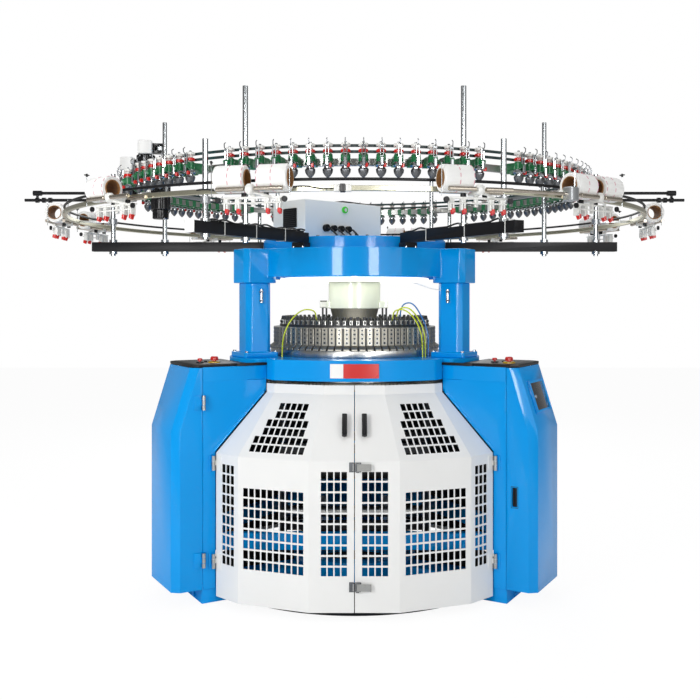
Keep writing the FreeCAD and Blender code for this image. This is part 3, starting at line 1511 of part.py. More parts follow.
# ---------------------------------------------------------------- control box and lines
def control_box():
    """Sheet box turned on the crown, with glands, a ring lamp, a vent and a small lever."""
    outer = block(0, box_length, 0, box_depth, tier_top_z, tier_top_z + box_height)
    inner = block(box_wall, box_length - box_wall, box_wall, box_depth - box_wall,
                  tier_top_z + box_wall, tier_top_z + box_height - box_wall)
    parts = [outer.cut(inner)]
    for index in range(4):
        x = box_length / 4 + index * gland_pitch
        z = tier_top_z + gland_rise
        parts.append(rod((x, 0, z), (x, -gland_reach, z), gland_r))
    lamp_x, lamp_z = box_length / 2, tier_top_z + lamp_rise
    parts.append(rod((lamp_x, 0, lamp_z), (lamp_x, -gland_reach / 2, lamp_z), gland_r + 3.0))
    parts.append(block(-vent_depth, 0, box_depth / 4, box_depth * 0.65, tier_top_z + gland_rise,
                       tier_top_z + box_height * 0.8))
    placed = []
    for part in parts:
        part.rotate(vec(0, 0, 0), vec(0, 0, 1), box_angle)
        part.translate(vec(box_corner[0], box_corner[1], 0))
        placed.append(part)
    return placed


def tube_path(points, radius):
    """Tube along straight runs joined by tangent arcs as large as the runs allow."""
    points = [vec(*point) for point in points]
    edges, here = [], points[0]
    for before, corner, after in zip(points, points[1:], points[2:]):
        back, ahead = (before - corner), (after - corner)
        shorter = min(back.Length, ahead.Length)
        back, ahead = back.normalize(), ahead.normalize()
        turn = math.pi - math.acos(max(-1.0, min(1.0, back.dot(ahead))))
        trim = 0.45 * shorter
        bend = trim / math.tan(turn / 2)
        start, stop = corner + back * trim, corner + ahead * trim
        middle_way = (back + ahead).normalize()
        middle = corner + middle_way * (math.hypot(bend, trim) - bend)
        edges += [Part.LineSegment(here, start).toShape(), Part.Arc(start, middle, stop).toShape()]
        here = stop
        print(f"bend radius {bend:.0f} mm", end="  ")
    edges.append(Part.LineSegment(here, points[-1]).toShape())
    wire = Part.Wire(edges)
    first = (points[1] - points[0]).normalize()
    section = Part.Wire([Part.Circle(points[0], first, radius).toShape()])
    pipe = wire.makePipeShell([section], True, False)
    print(f"tube {pipe.Volume / (math.pi * radius * radius * wire.Length):.4f} of section times length")
    return pipe


def oil_lines():
    """Oil and air lines that rise from the dial's cam plate, pass over its knobs and end on the bed."""
    start_z = cam_plate_low_z() + cam_plate_thickness + knob_rail_height
    start_r = cam_plate_r - knob_rail_inset
    over_z = cam_plate_low_z() + cam_plate_thickness + knob_height + line_clearance
    out_r = cam_box_foot_r + line_clearance * 0.6
    drop = over_z - bed_top_z
    lines = []
    for start, stop, lift in line_places:
        turn = stop - start
        points = [(start_r, start, start_z), (start_r, start, over_z - 22.0 + lift / 2),
                  (start_r + 26.0, start + 0.1 * turn, over_z + lift),
                  (cam_plate_r, start + 0.35 * turn, over_z + lift),
                  (out_r - 20.0, start + 0.6 * turn, bed_top_z + 0.78 * drop),
                  (out_r + 6.0, start + 0.8 * turn, bed_top_z + 0.5 * drop),
                  (out_r + 4.0, stop, bed_top_z + 0.22 * drop), (out_r + 4.0, stop, bed_top_z)]
        route = [on_circle(radius, azimuth) + (z,) for radius, azimuth, z in points]
        lines.append(tube_path(route, line_r))
    return lines


# ---------------------------------------------------------------- build
def main():
    os.makedirs("parts", exist_ok=True)
    front_left, front_right = leg_azimuths["front_left"], leg_azimuths["front_right"]
    rear = leg_azimuths["rear"]
    save("base_frame", [base_frame()] + cross_beams())
    save("levelling_feet", levelling_feet())
    for name, azimuth in leg_azimuths.items():
        save("leg_" + name, leg(azimuth, name == "front_left", name == "rear"))
        save("column_" + name, column(azimuth))
    save("bed_plate", [bed_plate(), sign_plate()])
    save("top_ring", top_ring())
    save("ring_lamp", ring_lamp())
    save("cabinet_top_left", cabinet_top(front_left, 1))
    save("cabinet_top_right", cabinet_top(front_right, -1))
    save("rear_guards", rear_guards())
    save("hinge_pins", hinge_pins())
    save("front_door_right", front_door(True))
    save("front_door_left", front_door(False))
    save("latch_lever_upper", latch_lever(latch_heights[0]))
    save("latch_lever_lower", latch_lever(latch_heights[1]))
    save("cabinet_cover_left", cabinet_cover(front_left, False))
    save("cabinet_cover_right", cabinet_cover(front_right, True))
    save("window_cover", window_cover(front_right))
    save("stop_button_left", stop_button(front_left, 1, False))
    save("stop_button_right", stop_button(front_right, -1, False))
    save("start_button_left", stop_button(front_left, 1, True))
    save("start_button_right", stop_button(front_right, -1, True))
    save("cam_ring_base", cam_ring_base())
    save("cam_boxes", cam_boxes())
    save("dial_cam_plate", dial_cam_plate())
    save("dial_housing", dial_housing())
    save("dial", dial())
    save("needle_cylinder", needle_cylinder())
    save("ring_gear", ring_gear())
    save("main_bearing", [main_bearing(), shaft_bearing()])
    save("drive_shaft", drive_shaft())
    save("motor_pulley", motor_pulley())
    save("drive_belt", drive_belt())
    save("main_motor", main_motor())
    save("switch_panel", switch_panel())
    save("takedown_frame", takedown_frame())
    left_roller, right_roller, bar = roller_places()
    save("draw_roller_front", takedown_roller(left_roller, draw_roller_r))
    save("draw_roller_rear", takedown_roller(right_roller, draw_roller_r))
    save("cloth_bar", takedown_roller(bar, cloth_bar_r))
    save("crown_beams", crown_beams())
    save("poles", poles())
    save("feeder_rail", feeder_rail())
    bodies, wheels, spools = feeders()
    save("feeder_bodies", bodies)
    save("feeder_wheels", wheels)
    save("feeder_spools", spools)
    save("feeder_belts", feeder_belts())
    save("elastane_rings", elastane_rings())
    save("elastane_brackets", elastane_brackets())
    rollers, packages, cores, sensors = [], [], [], []
    for azimuth, sides in units():
        rollers += [turned(roller, azimuth) for roller in unit_rollers()]
        sensors.append(turned(unit_sensors(), azimuth))
        for side in sides:
            package, core = package_at(side)
            packages.append(turned(package, azimuth))
            cores.append(turned(core, azimuth))
    rollers.append(coupling_shaft())
    save("elastane_rollers", rollers)
    save("elastane_packages", packages)
    save("elastane_cores", cores)
    save("yarn_sensors", sensors)
    save("outriggers", outriggers())
    save("belt_motors", belt_motors())
    save("control_box", control_box())
    save("oil_lines", oil_lines())


main()
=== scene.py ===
# %% [markdown]
# # A circular knitting machine, dressed
# The CAD model gives every load-bearing part of the machine. This lesson keeps those solids as the
# frame, softens their edges, gives each one its real finish, and adds the small things that solids
# leave out: screws, knobs, needles, yarn packages, wire guides, cables and hoses. All lengths are metres.

# %% Load the frame
import json
import math

import bmesh
import bpy
import numpy as np
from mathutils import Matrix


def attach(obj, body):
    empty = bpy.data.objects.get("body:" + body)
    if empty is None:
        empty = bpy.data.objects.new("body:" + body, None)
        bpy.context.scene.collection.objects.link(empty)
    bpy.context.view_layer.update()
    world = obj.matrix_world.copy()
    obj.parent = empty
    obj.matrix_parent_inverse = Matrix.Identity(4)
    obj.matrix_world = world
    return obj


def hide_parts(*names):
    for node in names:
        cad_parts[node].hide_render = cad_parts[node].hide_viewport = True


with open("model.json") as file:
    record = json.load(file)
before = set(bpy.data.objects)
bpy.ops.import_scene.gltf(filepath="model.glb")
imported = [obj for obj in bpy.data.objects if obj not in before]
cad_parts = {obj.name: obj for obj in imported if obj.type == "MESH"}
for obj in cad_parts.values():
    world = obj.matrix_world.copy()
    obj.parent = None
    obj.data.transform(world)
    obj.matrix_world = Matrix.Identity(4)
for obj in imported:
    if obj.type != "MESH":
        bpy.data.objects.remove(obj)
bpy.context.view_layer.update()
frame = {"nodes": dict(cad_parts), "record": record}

nodes = frame["nodes"]

# %% [markdown]
# ## Camera
# The photograph was taken level, about chest high, from almost five metres. A level camera keeps the
# poles upright, so its lens is shifted down a little where one could also tilt it and bend them.

# %% Camera
CAMERA_AWAY, CAMERA_HEIGHT, LENS = 4.9, 1.458, 46.39
camera = bpy.data.objects.new("camera", bpy.data.cameras.new("camera"))
bpy.context.collection.objects.link(camera)
camera.location = (0.0, -CAMERA_AWAY, CAMERA_HEIGHT)
camera.rotation_euler = (math.radians(90), 0, 0)
camera.data.sensor_width = 36.0
camera.data.lens = LENS
camera.data.shift_x, camera.data.shift_y = -0.0064, -0.0743
bpy.context.scene.camera = camera
print(f"camera {CAMERA_AWAY} m away and {CAMERA_HEIGHT} m up, lens {LENS} mm")


# %% [markdown]
# ## Shapes from whole arrays
# A form here is a pair: an array of points and an array of four-cornered faces. A grid of points over
# two parameters gives both at once, so no loop runs over points. Forms are turned, moved and copied as
# arrays too, which makes ninety feeders as easy as one.

# %% Forms
def grid_faces(rows, columns):
    """Faces of a grid whose second parameter closes on itself: each takes a point, its right
    neighbour, and the two above them."""
    index = np.arange(rows * columns).reshape(rows, columns)
    right = np.roll(index, -1, axis=1)
    return np.stack([index[:-1], right[:-1], right[1:], index[1:]], axis=-1).reshape(-1, 4)


def lathe(profile, sides=16):
    """A profile of (radius, height) turned about Z: x = r cos a, y = r sin a, z = h, closed at the
    first and last height where the radius is nought."""
    r, h = np.array(profile, dtype=float).T
    angle = np.arange(sides) * 2 * np.pi / sides
    points = np.stack([r[:, None] * np.cos(angle), r[:, None] * np.sin(angle),
                       np.repeat(h[:, None], sides, axis=1)], axis=-1)
    return points.reshape(-1, 3), grid_faces(len(r), sides)


def turned_body(radius, low, high, edge=0.001, sides=16, neck=()):
    """A round bar with chamfered rims; neck is more (radius, height) points between the rims."""
    profile = [(0, low), (radius - edge, low), (radius, low + edge), *neck,
               (radius, high - edge), (radius - edge, high), (0, high)]
    return lathe(profile, sides)


def bar(x, y, z, corner=0.002, edge=0.001, steps=2):
    """A block with rounded upright corners and chamfered rims: a rounded outline at four heights,
    drawn in by the edge at the first and last, and closed to its middle at both ends. x, y and z
    are its (low, high) reaches."""
    angle = np.linspace(0, np.pi / 2, steps + 1)
    quarter = np.concatenate([angle + k * np.pi / 2 for k in range(4)])
    sign_x = np.repeat([1, -1, -1, 1], steps + 1)
    sign_y = np.repeat([1, 1, -1, -1], steps + 1)
    half_x, half_y = (x[1] - x[0]) / 2, (y[1] - y[0]) / 2
    ox = sign_x * (half_x - corner) + corner * np.cos(quarter)
    oy = sign_y * (half_y - corner) + corner * np.sin(quarter)
    shrink = np.array([0, 1 - edge / min(half_x, half_y), 1, 1, 1 - edge / min(half_x, half_y), 0])
    height = np.array([z[0], z[0], z[0] + edge, z[1] - edge, z[1], z[1]])
    points = np.stack([shrink[:, None] * ox + (x[0] + x[1]) / 2, shrink[:, None] * oy + (y[0] + y[1]) / 2,
                       np.repeat(height[:, None], len(ox), axis=1)], axis=-1)
    return points.reshape(-1, 3), grid_faces(6, len(ox))


def tube(path, radius, sides=8):
    """A round wire along a path: at each point a circle across the path's direction, with both ends
    drawn to a point. The circle's first arm is square to the direction and to one fixed side."""
    path = np.array(path, dtype=float)
    along = np.gradient(path, axis=0)
    along /= np.linalg.norm(along, axis=1, keepdims=True)
    spread = np.ptp(path, axis=0)
    fixed = np.eye(3)[int(np.argmin(spread))]
    first = np.cross(along, fixed)
    first /= np.linalg.norm(first, axis=1, keepdims=True)
    second = np.cross(along, first)
    angle = -np.arange(sides) * 2 * np.pi / sides
    circle = first[:, None] * np.cos(angle)[:, None] + second[:, None] * np.sin(angle)[:, None]
    points = path[:, None] + radius * circle
    ends = [np.repeat(path[k, None, None], sides, axis=1) for k in (0, -1)]
    points = np.concatenate([ends[0], points, ends[1]])
    return points.reshape(-1, 3), grid_faces(len(path) + 2, sides)


def slab(outline, low, high, edge=0.001):
    """An outline of (x, z) points drawn out along Y, with chamfered rims and both ends closed to the
    outline's middle. The outline bulges outwards everywhere."""
    line = np.array(outline, dtype=float)
    middle = line.mean(axis=0)
    inset = 1 - edge / (np.ptp(line, axis=0).min() / 2)
    shrink = np.array([0, inset, 1, 1, inset, 0])
    level = np.array([low, low, low + edge, high - edge, high, high])
    x, z = (middle + shrink[:, None, None] * (line - middle)).transpose(2, 0, 1)
    points = np.stack([x, np.repeat(level[:, None], len(line), axis=1), z], axis=-1)
    return points.reshape(-1, 3), grid_faces(6, len(line))


def hoop(section, sides):
    """A closed section of (radius, height) points turned right round Z."""
    return lathe(list(section) + [section[0]], sides)


def arc_plate(inner, outer, low, high, start, stop, steps=12):
    """A plate bent round Z between two radii, two heights and two azimuths in degrees: its four
    corners go round the arc, and both ends close to the section's middle."""
    section = np.array([(inner, low), (outer, low), (outer, high), (inner, high)])
    middle = section.mean(axis=0)
    spread = np.concatenate([[0.0], np.ones(steps + 1), [0.0]])
    angle = np.radians(np.concatenate([[start], np.linspace(start, stop, steps + 1), [stop]]))[:, None]
    r, z = (middle + spread[:, None, None] * (section - middle)).transpose(2, 0, 1)
    points = np.stack([r * np.cos(angle), r * np.sin(angle), z], axis=-1)
    return points.reshape(-1, 3), grid_faces(steps + 3, 4)


def spot(azimuth, r, s, z):
    """The point at radius r and height z, and s to the left of the azimuth's arm."""
    a = math.radians(azimuth)
    return r * math.cos(a) - s * math.sin(a), r * math.sin(a) + s * math.cos(a), z


def moved(form, offset=(0, 0, 0), turn=0.0, tip=0.0, roll=0.0):
    """A form rolled about X, tipped about Y, moved, and then turned about the machine's axis, all in
    degrees: p' = Rz (Ry Rx p + offset)."""
    points, faces = form
    a, b, c = np.radians([roll, tip, turn])
    rx = np.array([[1, 0, 0], [0, np.cos(a), -np.sin(a)], [0, np.sin(a), np.cos(a)]])
    ry = np.array([[np.cos(b), 0, np.sin(b)], [0, 1, 0], [-np.sin(b), 0, np.cos(b)]])
    rz = np.array([[np.cos(c), -np.sin(c), 0], [np.sin(c), np.cos(c), 0], [0, 0, 1]])
    return (points @ (ry @ rx).T + np.array(offset)) @ rz.T, faces


def around(form, azimuths):
    """Copies of a form at several azimuths: every point times every turn, in one product."""
    points, faces = form
    a = np.radians(np.array(azimuths, dtype=float))
    zero, one = np.zeros_like(a), np.ones_like(a)
    turns = np.stack([np.cos(a), -np.sin(a), zero, np.sin(a), np.cos(a), zero, zero, zero, one], axis=-1)
    copies = np.einsum("kij,nj->kni", turns.reshape(-1, 3, 3), points)
    shift = (np.arange(len(a)) * len(points))[:, None, None]
    return copies.reshape(-1, 3), (faces[None] + shift).reshape(-1, 4)
def every(forms, azimuths):
    """Each of several forms, copied to all the azimuths."""
    return [around(form, azimuths) for form in forms]


def reach(side, near, far):
    """The (low, high) reach between two distances on one side of the middle."""
    return tuple(sorted((side * near, side * far)))

def together(forms):
    """Several forms as one: the points in a row, and each form's faces raised by the points before."""
    starts = np.cumsum([0] + [len(points) for points, _ in forms[:-1]])
    return (np.concatenate([points for points, _ in forms]),
            np.concatenate([faces + start for (_, faces), start in zip(forms, starts)]))


# %% [markdown]
# ## From forms to pieces
# A form becomes one mesh object. Points that coincide are merged, which turns the squeezed faces at
# poles into triangles, and then edges sharper than 35 degrees stay crisp while the rest are shaded
# smooth. A copy of a CAD solid gets a small bevel the same way, because every real edge catches light.

# %% Pieces
MERGE, CRISP = 2e-5, 35     # points this near are one; edges sharper than this many degrees stay crisp


def finish_mesh(mesh):
    """Merges the points that coincide, turns the faces outwards and shades the gentle edges smooth."""
    work = bmesh.new()
    work.from_mesh(mesh)
    bmesh.ops.remove_doubles(work, verts=work.verts, dist=MERGE)
    bmesh.ops.dissolve_degenerate(work, edges=work.edges, dist=1e-6)
    bmesh.ops.recalc_face_normals(work, faces=work.faces)
    work.to_mesh(mesh)
    work.free()
    mesh.shade_smooth()
    mesh.set_sharp_from_angle(angle=math.radians(CRISP))


def piece(name, forms, material, body="frame", replaces=(), wind=None):
    """One named object made of forms, with its material, its body and the solids it stands for. wind
    is the place of each face corner on the winding of a yarn package."""
    points, faces = together(forms)
    mesh = bpy.data.meshes.new(name)
    mesh.from_pydata(points.tolist(), [], faces.tolist())
    if wind is not None:
        mesh.uv_layers.new(name="wind").data.foreach_set("uv", wind.ravel())
    finish_mesh(mesh)
    made = bpy.data.objects.new(name, mesh)
    bpy.context.collection.objects.link(made)
    made.data.materials.append(material)
    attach(made, body)
    if replaces:
        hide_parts(*replaces)
    print(f"{name}: {len(mesh.polygons)} faces")
    return made


node_body = {node: body for body, names in frame["record"]["behaviour"]["bodies"].items() for node in names}
node_slot = {row["node"]: row["material_slot"] for row in frame["record"]["subparts"]}


def softened(node, material, edge=0.0015, segments=2):
    """A copy of a CAD solid with merged corners and a small bevel on each sharp edge."""
    mesh = nodes[node].data.copy()
    mesh.name = node + "_edged"
    work = bmesh.new()
    work.from_mesh(mesh)
    bmesh.ops.remove_doubles(work, verts=work.verts, dist=MERGE)
    bmesh.ops.dissolve_limit(work, angle_limit=math.radians(0.5), verts=work.verts, edges=work.edges)
    work.to_mesh(mesh)
    work.free()
    mesh.shade_smooth()
    made = bpy.data.objects.new(node + "_edged", mesh)
    bpy.context.collection.objects.link(made)
    made.data.materials.clear()
    made.data.materials.append(material)
    bevel = made.modifiers.new("edges", "BEVEL")
    bevel.width, bevel.segments, bevel.limit_method = edge, segments, "ANGLE"
    bevel.angle_limit = math.radians(32)
    bevel.harden_normals = True
    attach(made, node_body[node])
    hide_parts(node)
    return made


# %% [markdown]
# ## Materials
# Each finish is a small tree of nodes on Object coordinates, which are metres on these pieces. So the
# scale of a noise is simply one over the size of its grains. Colours are written as hex, the way a
# colour picker shows them, and turned to linear light by one function.

# %% Colour and node helpers
def linear(code, alpha=1.0):
    """sRGB hex to linear: low values divided by 12.92, the rest ((c + 0.055) / 1.055) to the 2.4."""
    srgb = np.array([int(code[k:k + 2], 16) for k in (1, 3, 5)]) / 255
    return tuple(np.where(srgb <= 0.04045, srgb / 12.92, ((srgb + 0.055) / 1.055) ** 2.4)) + (alpha,)


def add(tree, kind, inputs=None, **settings):
    """Adds a node, sets its settings, and fills its inputs with values or links."""
    made = tree.nodes.new(kind)
    for key, value in settings.items():
        setattr(made, key, value)
    for key, value in (inputs or {}).items():
        if isinstance(value, bpy.types.NodeSocket):
            tree.links.new(value, made.inputs[key])
        else:
            made.inputs[key].default_value = value
    return made


def blank(name):
    """A new material, its tree, its shader and the Object coordinates."""
    material = bpy.data.materials.new(name)
    material.use_nodes = True
    tree = material.node_tree
    place = add(tree, "ShaderNodeTexCoord").outputs["Object"]
    return material, tree, tree.nodes["Principled BSDF"], place


def coated(name, colour, dark, roughness, grain, depth, coat=0.0, cloud=0.35, specular=0.5):
    """Paint, powder coat or moulded plastic: a colour that drifts a little over some decimetres, a
    grain of the given size and depth in metres, and a roughness that drifts with the colour."""
    material, tree, shader, place = blank(name)
    drift = add(tree, "ShaderNodeTexNoise", {"Vector": place, "Scale": 1 / cloud, "Detail": 3.0})
    mixed = add(tree, "ShaderNodeMix", {"Factor": drift.outputs["Fac"], 6: linear(colour), 7: linear(dark)},
                data_type="RGBA")
    fine = add(tree, "ShaderNodeTexNoise", {"Vector": place, "Scale": 1 / grain, "Detail": 2.0})
    gloss = add(tree, "ShaderNodeMapRange", {"Value": drift.outputs["Fac"], "To Min": roughness * 0.85,
                                             "To Max": roughness * 1.15})
    bump = add(tree, "ShaderNodeBump", {"Height": fine.outputs["Fac"], "Strength": 1.0, "Distance": depth})
    tree.links.new(mixed.outputs[2], shader.inputs["Base Color"])
    tree.links.new(gloss.outputs["Result"], shader.inputs["Roughness"])
    tree.links.new(bump.outputs["Normal"], shader.inputs["Normal"])
    shader.inputs["Coat Weight"].default_value = coat
    shader.inputs["Coat Roughness"].default_value = 0.06
    shader.inputs["Specular IOR Level"].default_value = specular
    return material


def worked_metal(name, colour, dark, roughness, line, stretch, depth=0.00002):
    """Machined or ground metal: tool marks as a noise drawn out along one direction. line is the
    spacing of the marks in metres, and stretch how many times longer they are along X, Y and Z."""
    material, tree, shader, place = blank(name)
    scale = [1 / (line * s) for s in stretch]
    mapped = add(tree, "ShaderNodeMapping", {"Vector": place, "Scale": scale})
    marks = add(tree, "ShaderNodeTexNoise", {"Vector": mapped.outputs["Vector"], "Scale": 1.0, "Detail": 4.0})
    stain = add(tree, "ShaderNodeTexNoise", {"Vector": place, "Scale": 9.0, "Detail": 3.0})
    shade = add(tree, "ShaderNodeMath", {0: marks.outputs["Fac"], 1: stain.outputs["Fac"]},
                operation="MULTIPLY")
    mixed = add(tree, "ShaderNodeMix", {"Factor": shade.outputs["Value"], 6: linear(colour), 7: linear(dark)},
                data_type="RGBA")
    gloss = add(tree, "ShaderNodeMapRange", {"Value": marks.outputs["Fac"], "To Min": roughness * 0.7,
                                             "To Max": roughness * 1.3})
    bump = add(tree, "ShaderNodeBump", {"Height": marks.outputs["Fac"], "Strength": 1.0, "Distance": depth})
    tree.links.new(mixed.outputs[2], shader.inputs["Base Color"])
    tree.links.new(gloss.outputs["Result"], shader.inputs["Roughness"])
    tree.links.new(bump.outputs["Normal"], shader.inputs["Normal"])
    shader.inputs["Metallic"].default_value = 1.0
    return material


# %% [markdown]
# The machine wears few finishes: a glossy blue two-pack enamel on all castings and weldments, a white
# powder coat on the folded doors, black powder coat on beams and control plates, and bare steel where
# parts run on each other. Enamel levels out while wet, so its surface is smooth with a slow orange
# peel of 3 mm; powder melts from grains and keeps a fine, tight texture.

# %% Finishes
blue_enamel = coated("blue_two_pack_enamel", "#029CEC", "#0194E3", 0.24, 0.012, 0.000008, coat=0.4,
                     specular=0.05)
white_powder = coated("white_powder_coat", "#F1F1EF", "#EAEAE8", 0.38, 0.0016, 0.00004)
black_powder = coated("black_powder_coat", "#151517", "#1C1C1F", 0.4, 0.0016, 0.00005, specular=0.2)
grey_powder = coated("light_grey_powder_coat", "#FCFDFA", "#F6F8F4", 0.42, 0.0016, 0.00004)
black_iron = coated("blackened_steel", "#343537", "#252628", 0.45, 0.004, 0.00005)
cream_enamel = coated("cream_casting_enamel", "#F3F6EC", "#EAF1E4", 0.3, 0.003, 0.00005, coat=0.3)
red_abs = coated("red_moulded_abs", "#D8221A", "#C91C15", 0.28, 0.003, 0.00002)
yellow_abs = coated("yellow_moulded_abs", "#F0C419", "#E7B913", 0.35, 0.003, 0.00002)
green_casting = coated("green_painted_die_casting", "#1F7B4A", "#18683D", 0.34, 0.002, 0.00004, cloud=0.05)
white_nylon = coated("white_moulded_nylon", "#ECECE8", "#E2E2DE", 0.4, 0.002, 0.00002)
black_rubber = coated("black_rubber", "#191919", "#222222", 0.62, 0.0012, 0.00006)
teal_tape = coated("woven_teal_belt", "#122E2E", "#1B3D3D", 0.6, 0.0008, 0.00008)
brown_board = coated("wound_brown_board", "#A5743A", "#8A5C2C", 0.75, 0.0012, 0.00008, cloud=0.02)
yellow_hose = coated("yellow_green_pu_hose", "#D5E02A", "#C7D420", 0.25, 0.004, 0.00002)
blue_hose = coated("blue_pu_air_hose", "#2F7FC6", "#2873B8", 0.25, 0.004, 0.00002)
gloss_black = coated("gloss_black_lacquer", "#0E0E10", "#151518", 0.22, 0.004, 0.00002, coat=0.15,
                     specular=0.3)
pink_thread = coated("pink_marking_thread", "#D98BA0", "#C97A90", 0.8, 0.001, 0.00004)
# painted shade: a black sheet that darkens the inside and the floor seen through the grilles
painted_shade_black = coated("painted_shade_black_sheet", "#0C0C0D", "#141416", 0.8, 0.003, 0.0001)
black_cable = coated("black_pvc_cable", "#151516", "#1C1C1E", 0.45, 0.003, 0.00002)
ground_steel = worked_metal("ground_steel", "#B9B9B6", "#8E8E8B", 0.3, 0.002, (1, 1, 30))
cam_steel = worked_metal("milled_cam_steel", "#A8A497", "#86827A", 0.5, 0.0025, (1, 1, 18))
chrome = worked_metal("chrome_plate", "#B4B8BA", "#A4A8AB", 0.2, 0.01, (1, 1, 20), 0.0000005)
bright_steel = worked_metal("bright_turned_steel", "#ABABA8", "#858583", 0.3, 0.002, (1, 1, 12), 0.00001)
brown_steel = worked_metal("oiled_steel_tube", "#B9B0A3", "#948B7F", 0.24, 0.002, (20, 20, 1))
olive_steel = worked_metal("olive_zinc_plate", "#C6C3AE", "#A3A08A", 0.3, 0.003, (1, 1, 1), 0.00001)
basket_wire = worked_metal("dark_plated_wire", "#77797C", "#3A3C3F", 0.34, 0.0012, (20, 20, 1))
cast_aluminium = worked_metal("cast_aluminium", "#B5B8BA", "#8E9194", 0.42, 0.004, (1, 1, 1), 0.00008)

# %% [markdown]
# Three finishes are not paint or metal. The lamp under the crown is lit, so it gives light itself.
# The control window is tinted acrylic over a dark panel. The yarn on the packages is elastane, wound in
# fine crossing turns: two sets of slanting lines, a few millimetres apart so that they show.

# %% Lamp, acrylic and yarn
frosted_lamp, tree, shader, place = blank("frosted_lit_acrylic")
shader.inputs["Base Color"].default_value = linear("#F7F7E6")
shader.inputs["Roughness"].default_value = 0.5
shader.inputs["Emission Color"].default_value = linear("#FBFBE4")
shader.inputs["Emission Strength"].default_value = 1.8
speckle = add(tree, "ShaderNodeTexNoise", {"Vector": place, "Scale": 250.0})
dimple = add(tree, "ShaderNodeBump", {"Height": speckle.outputs["Fac"], "Distance": 0.0001})
tree.links.new(dimple.outputs["Normal"], shader.inputs["Normal"])

green_lit, tree, shader, place = blank("green_lit_acrylic")
speckle = add(tree, "ShaderNodeTexNoise", {"Vector": place, "Scale": 90.0})
tint = add(tree, "ShaderNodeMix", {"Factor": speckle.outputs["Fac"], 6: linear("#37C22B"),
                                   7: linear("#2FB024")}, data_type="RGBA")
tree.links.new(tint.outputs[2], shader.inputs["Base Color"])
tree.links.new(tint.outputs[2], shader.inputs["Emission Color"])
shader.inputs["Emission Strength"].default_value = 0.25
shader.inputs["Roughness"].default_value = 0.3

dark_acrylic, tree, shader, place = blank("smoked_acrylic")
smears = add(tree, "ShaderNodeTexNoise", {"Vector": place, "Scale": 12.0, "Detail": 4.0})
haze = add(tree, "ShaderNodeMapRange", {"Value": smears.outputs["Fac"], "To Min": 0.04, "To Max": 0.14})
tint = add(tree, "ShaderNodeMix", {"Factor": smears.outputs["Fac"], 6: linear("#1D2226"),
                                   7: linear("#272D32")}, data_type="RGBA")
tree.links.new(haze.outputs["Result"], shader.inputs["Roughness"])
tree.links.new(tint.outputs[2], shader.inputs["Base Color"])
shader.inputs["Coat Weight"].default_value = 0.6

wound_yarn, tree, shader, place = blank("wound_elastane_yarn")
uv = add(tree, "ShaderNodeUVMap", uv_map="wind")
thread = add(tree, "ShaderNodeTexWave", {"Vector": uv.outputs["UV"], "Scale": 90.0, "Distortion": 0.6,
                                         "Detail": 2.0, "Detail Scale": 3.0}, bands_direction="DIAGONAL")
tone = add(tree, "ShaderNodeMix", {"Factor": thread.outputs["Fac"], 6: linear("#F8F8F6"),
                                   7: linear("#ECECE9")}, data_type="RGBA")
ridge = add(tree, "ShaderNodeBump", {"Height": thread.outputs["Fac"], "Distance": 0.00025})
tree.links.new(tone.outputs[2], shader.inputs["Base Color"])
tree.links.new(ridge.outputs["Normal"], shader.inputs["Normal"])
shader.inputs["Roughness"].default_value = 0.7
shader.inputs["Sheen Weight"].default_value = 0.2

finishes = {
    "blue_enamel": blue_enamel, "white_powder": white_powder, "black_powder": black_powder,
    "grey_powder": grey_powder, "ground_steel": ground_steel, "cam_steel": cam_steel, "chrome": chrome,
    "dark_steel": black_iron, "motor_aluminium": cast_aluminium, "lamp_diffuser": frosted_lamp,
    "housing_enamel": cream_enamel, "red_plastic": red_abs, "green_plastic": green_casting,
    "white_plastic": white_nylon, "black_rubber": black_rubber, "teal_belt": teal_tape,
    "elastane_yarn": wound_yarn, "card_tube": brown_board, "clear_cover": dark_acrylic,
    "yellow_hose": yellow_hose,
}
for node, solid in nodes.items():
    solid.data.materials.clear()
    solid.data.materials.append(finishes[node_slot[node]])
for node in ("latch_lever_upper", "latch_lever_lower"):
    nodes[node].data.materials[0] = bright_steel

# %% [markdown]
# ## Hoses
# Four thin hoses rise from the ring on the dial's cam plate, pass over its knobs and end on the bed: three
# yellow-green oil lines and a blue air line. Each is one smooth spline through the route of the
# machine's plan, so it bends as a real hose does.

# %% Hoses
HOSE_RADIUS = 0.0035
BED_TOP = 1.159
PLATE_TOP = 1.321
HOSE_START_R, HOSE_START_Z = 0.319, PLATE_TOP + 0.018
HOSE_OVER_Z, HOSE_OUT_R = PLATE_TOP + 0.078, 0.4828
ROUNDED = 0.985     # a route with rounded corners is about 1.5% shorter than its runs added up


def hose_route(start, stop, lift):
    """Eight route points, each a radius, an azimuth between start and stop, and a height."""
    drop = HOSE_OVER_Z - BED_TOP
    share = np.array([0, 0, 0.1, 0.35, 0.6, 0.8, 1, 1])
    radii = np.array([HOSE_START_R, HOSE_START_R, HOSE_START_R + 0.026, 0.404, HOSE_OUT_R - 0.02,
                      HOSE_OUT_R + 0.006, HOSE_OUT_R + 0.004, HOSE_OUT_R + 0.004])
    heights = np.array([HOSE_START_Z, HOSE_OVER_Z - 0.022 + lift / 2, HOSE_OVER_Z + lift, HOSE_OVER_Z + lift,
                        BED_TOP + 0.78 * drop, BED_TOP + 0.5 * drop, BED_TOP + 0.22 * drop, BED_TOP])
    angle = np.radians(start + share * (stop - start))
    return np.stack([radii * np.cos(angle), radii * np.sin(angle), heights], axis=-1)


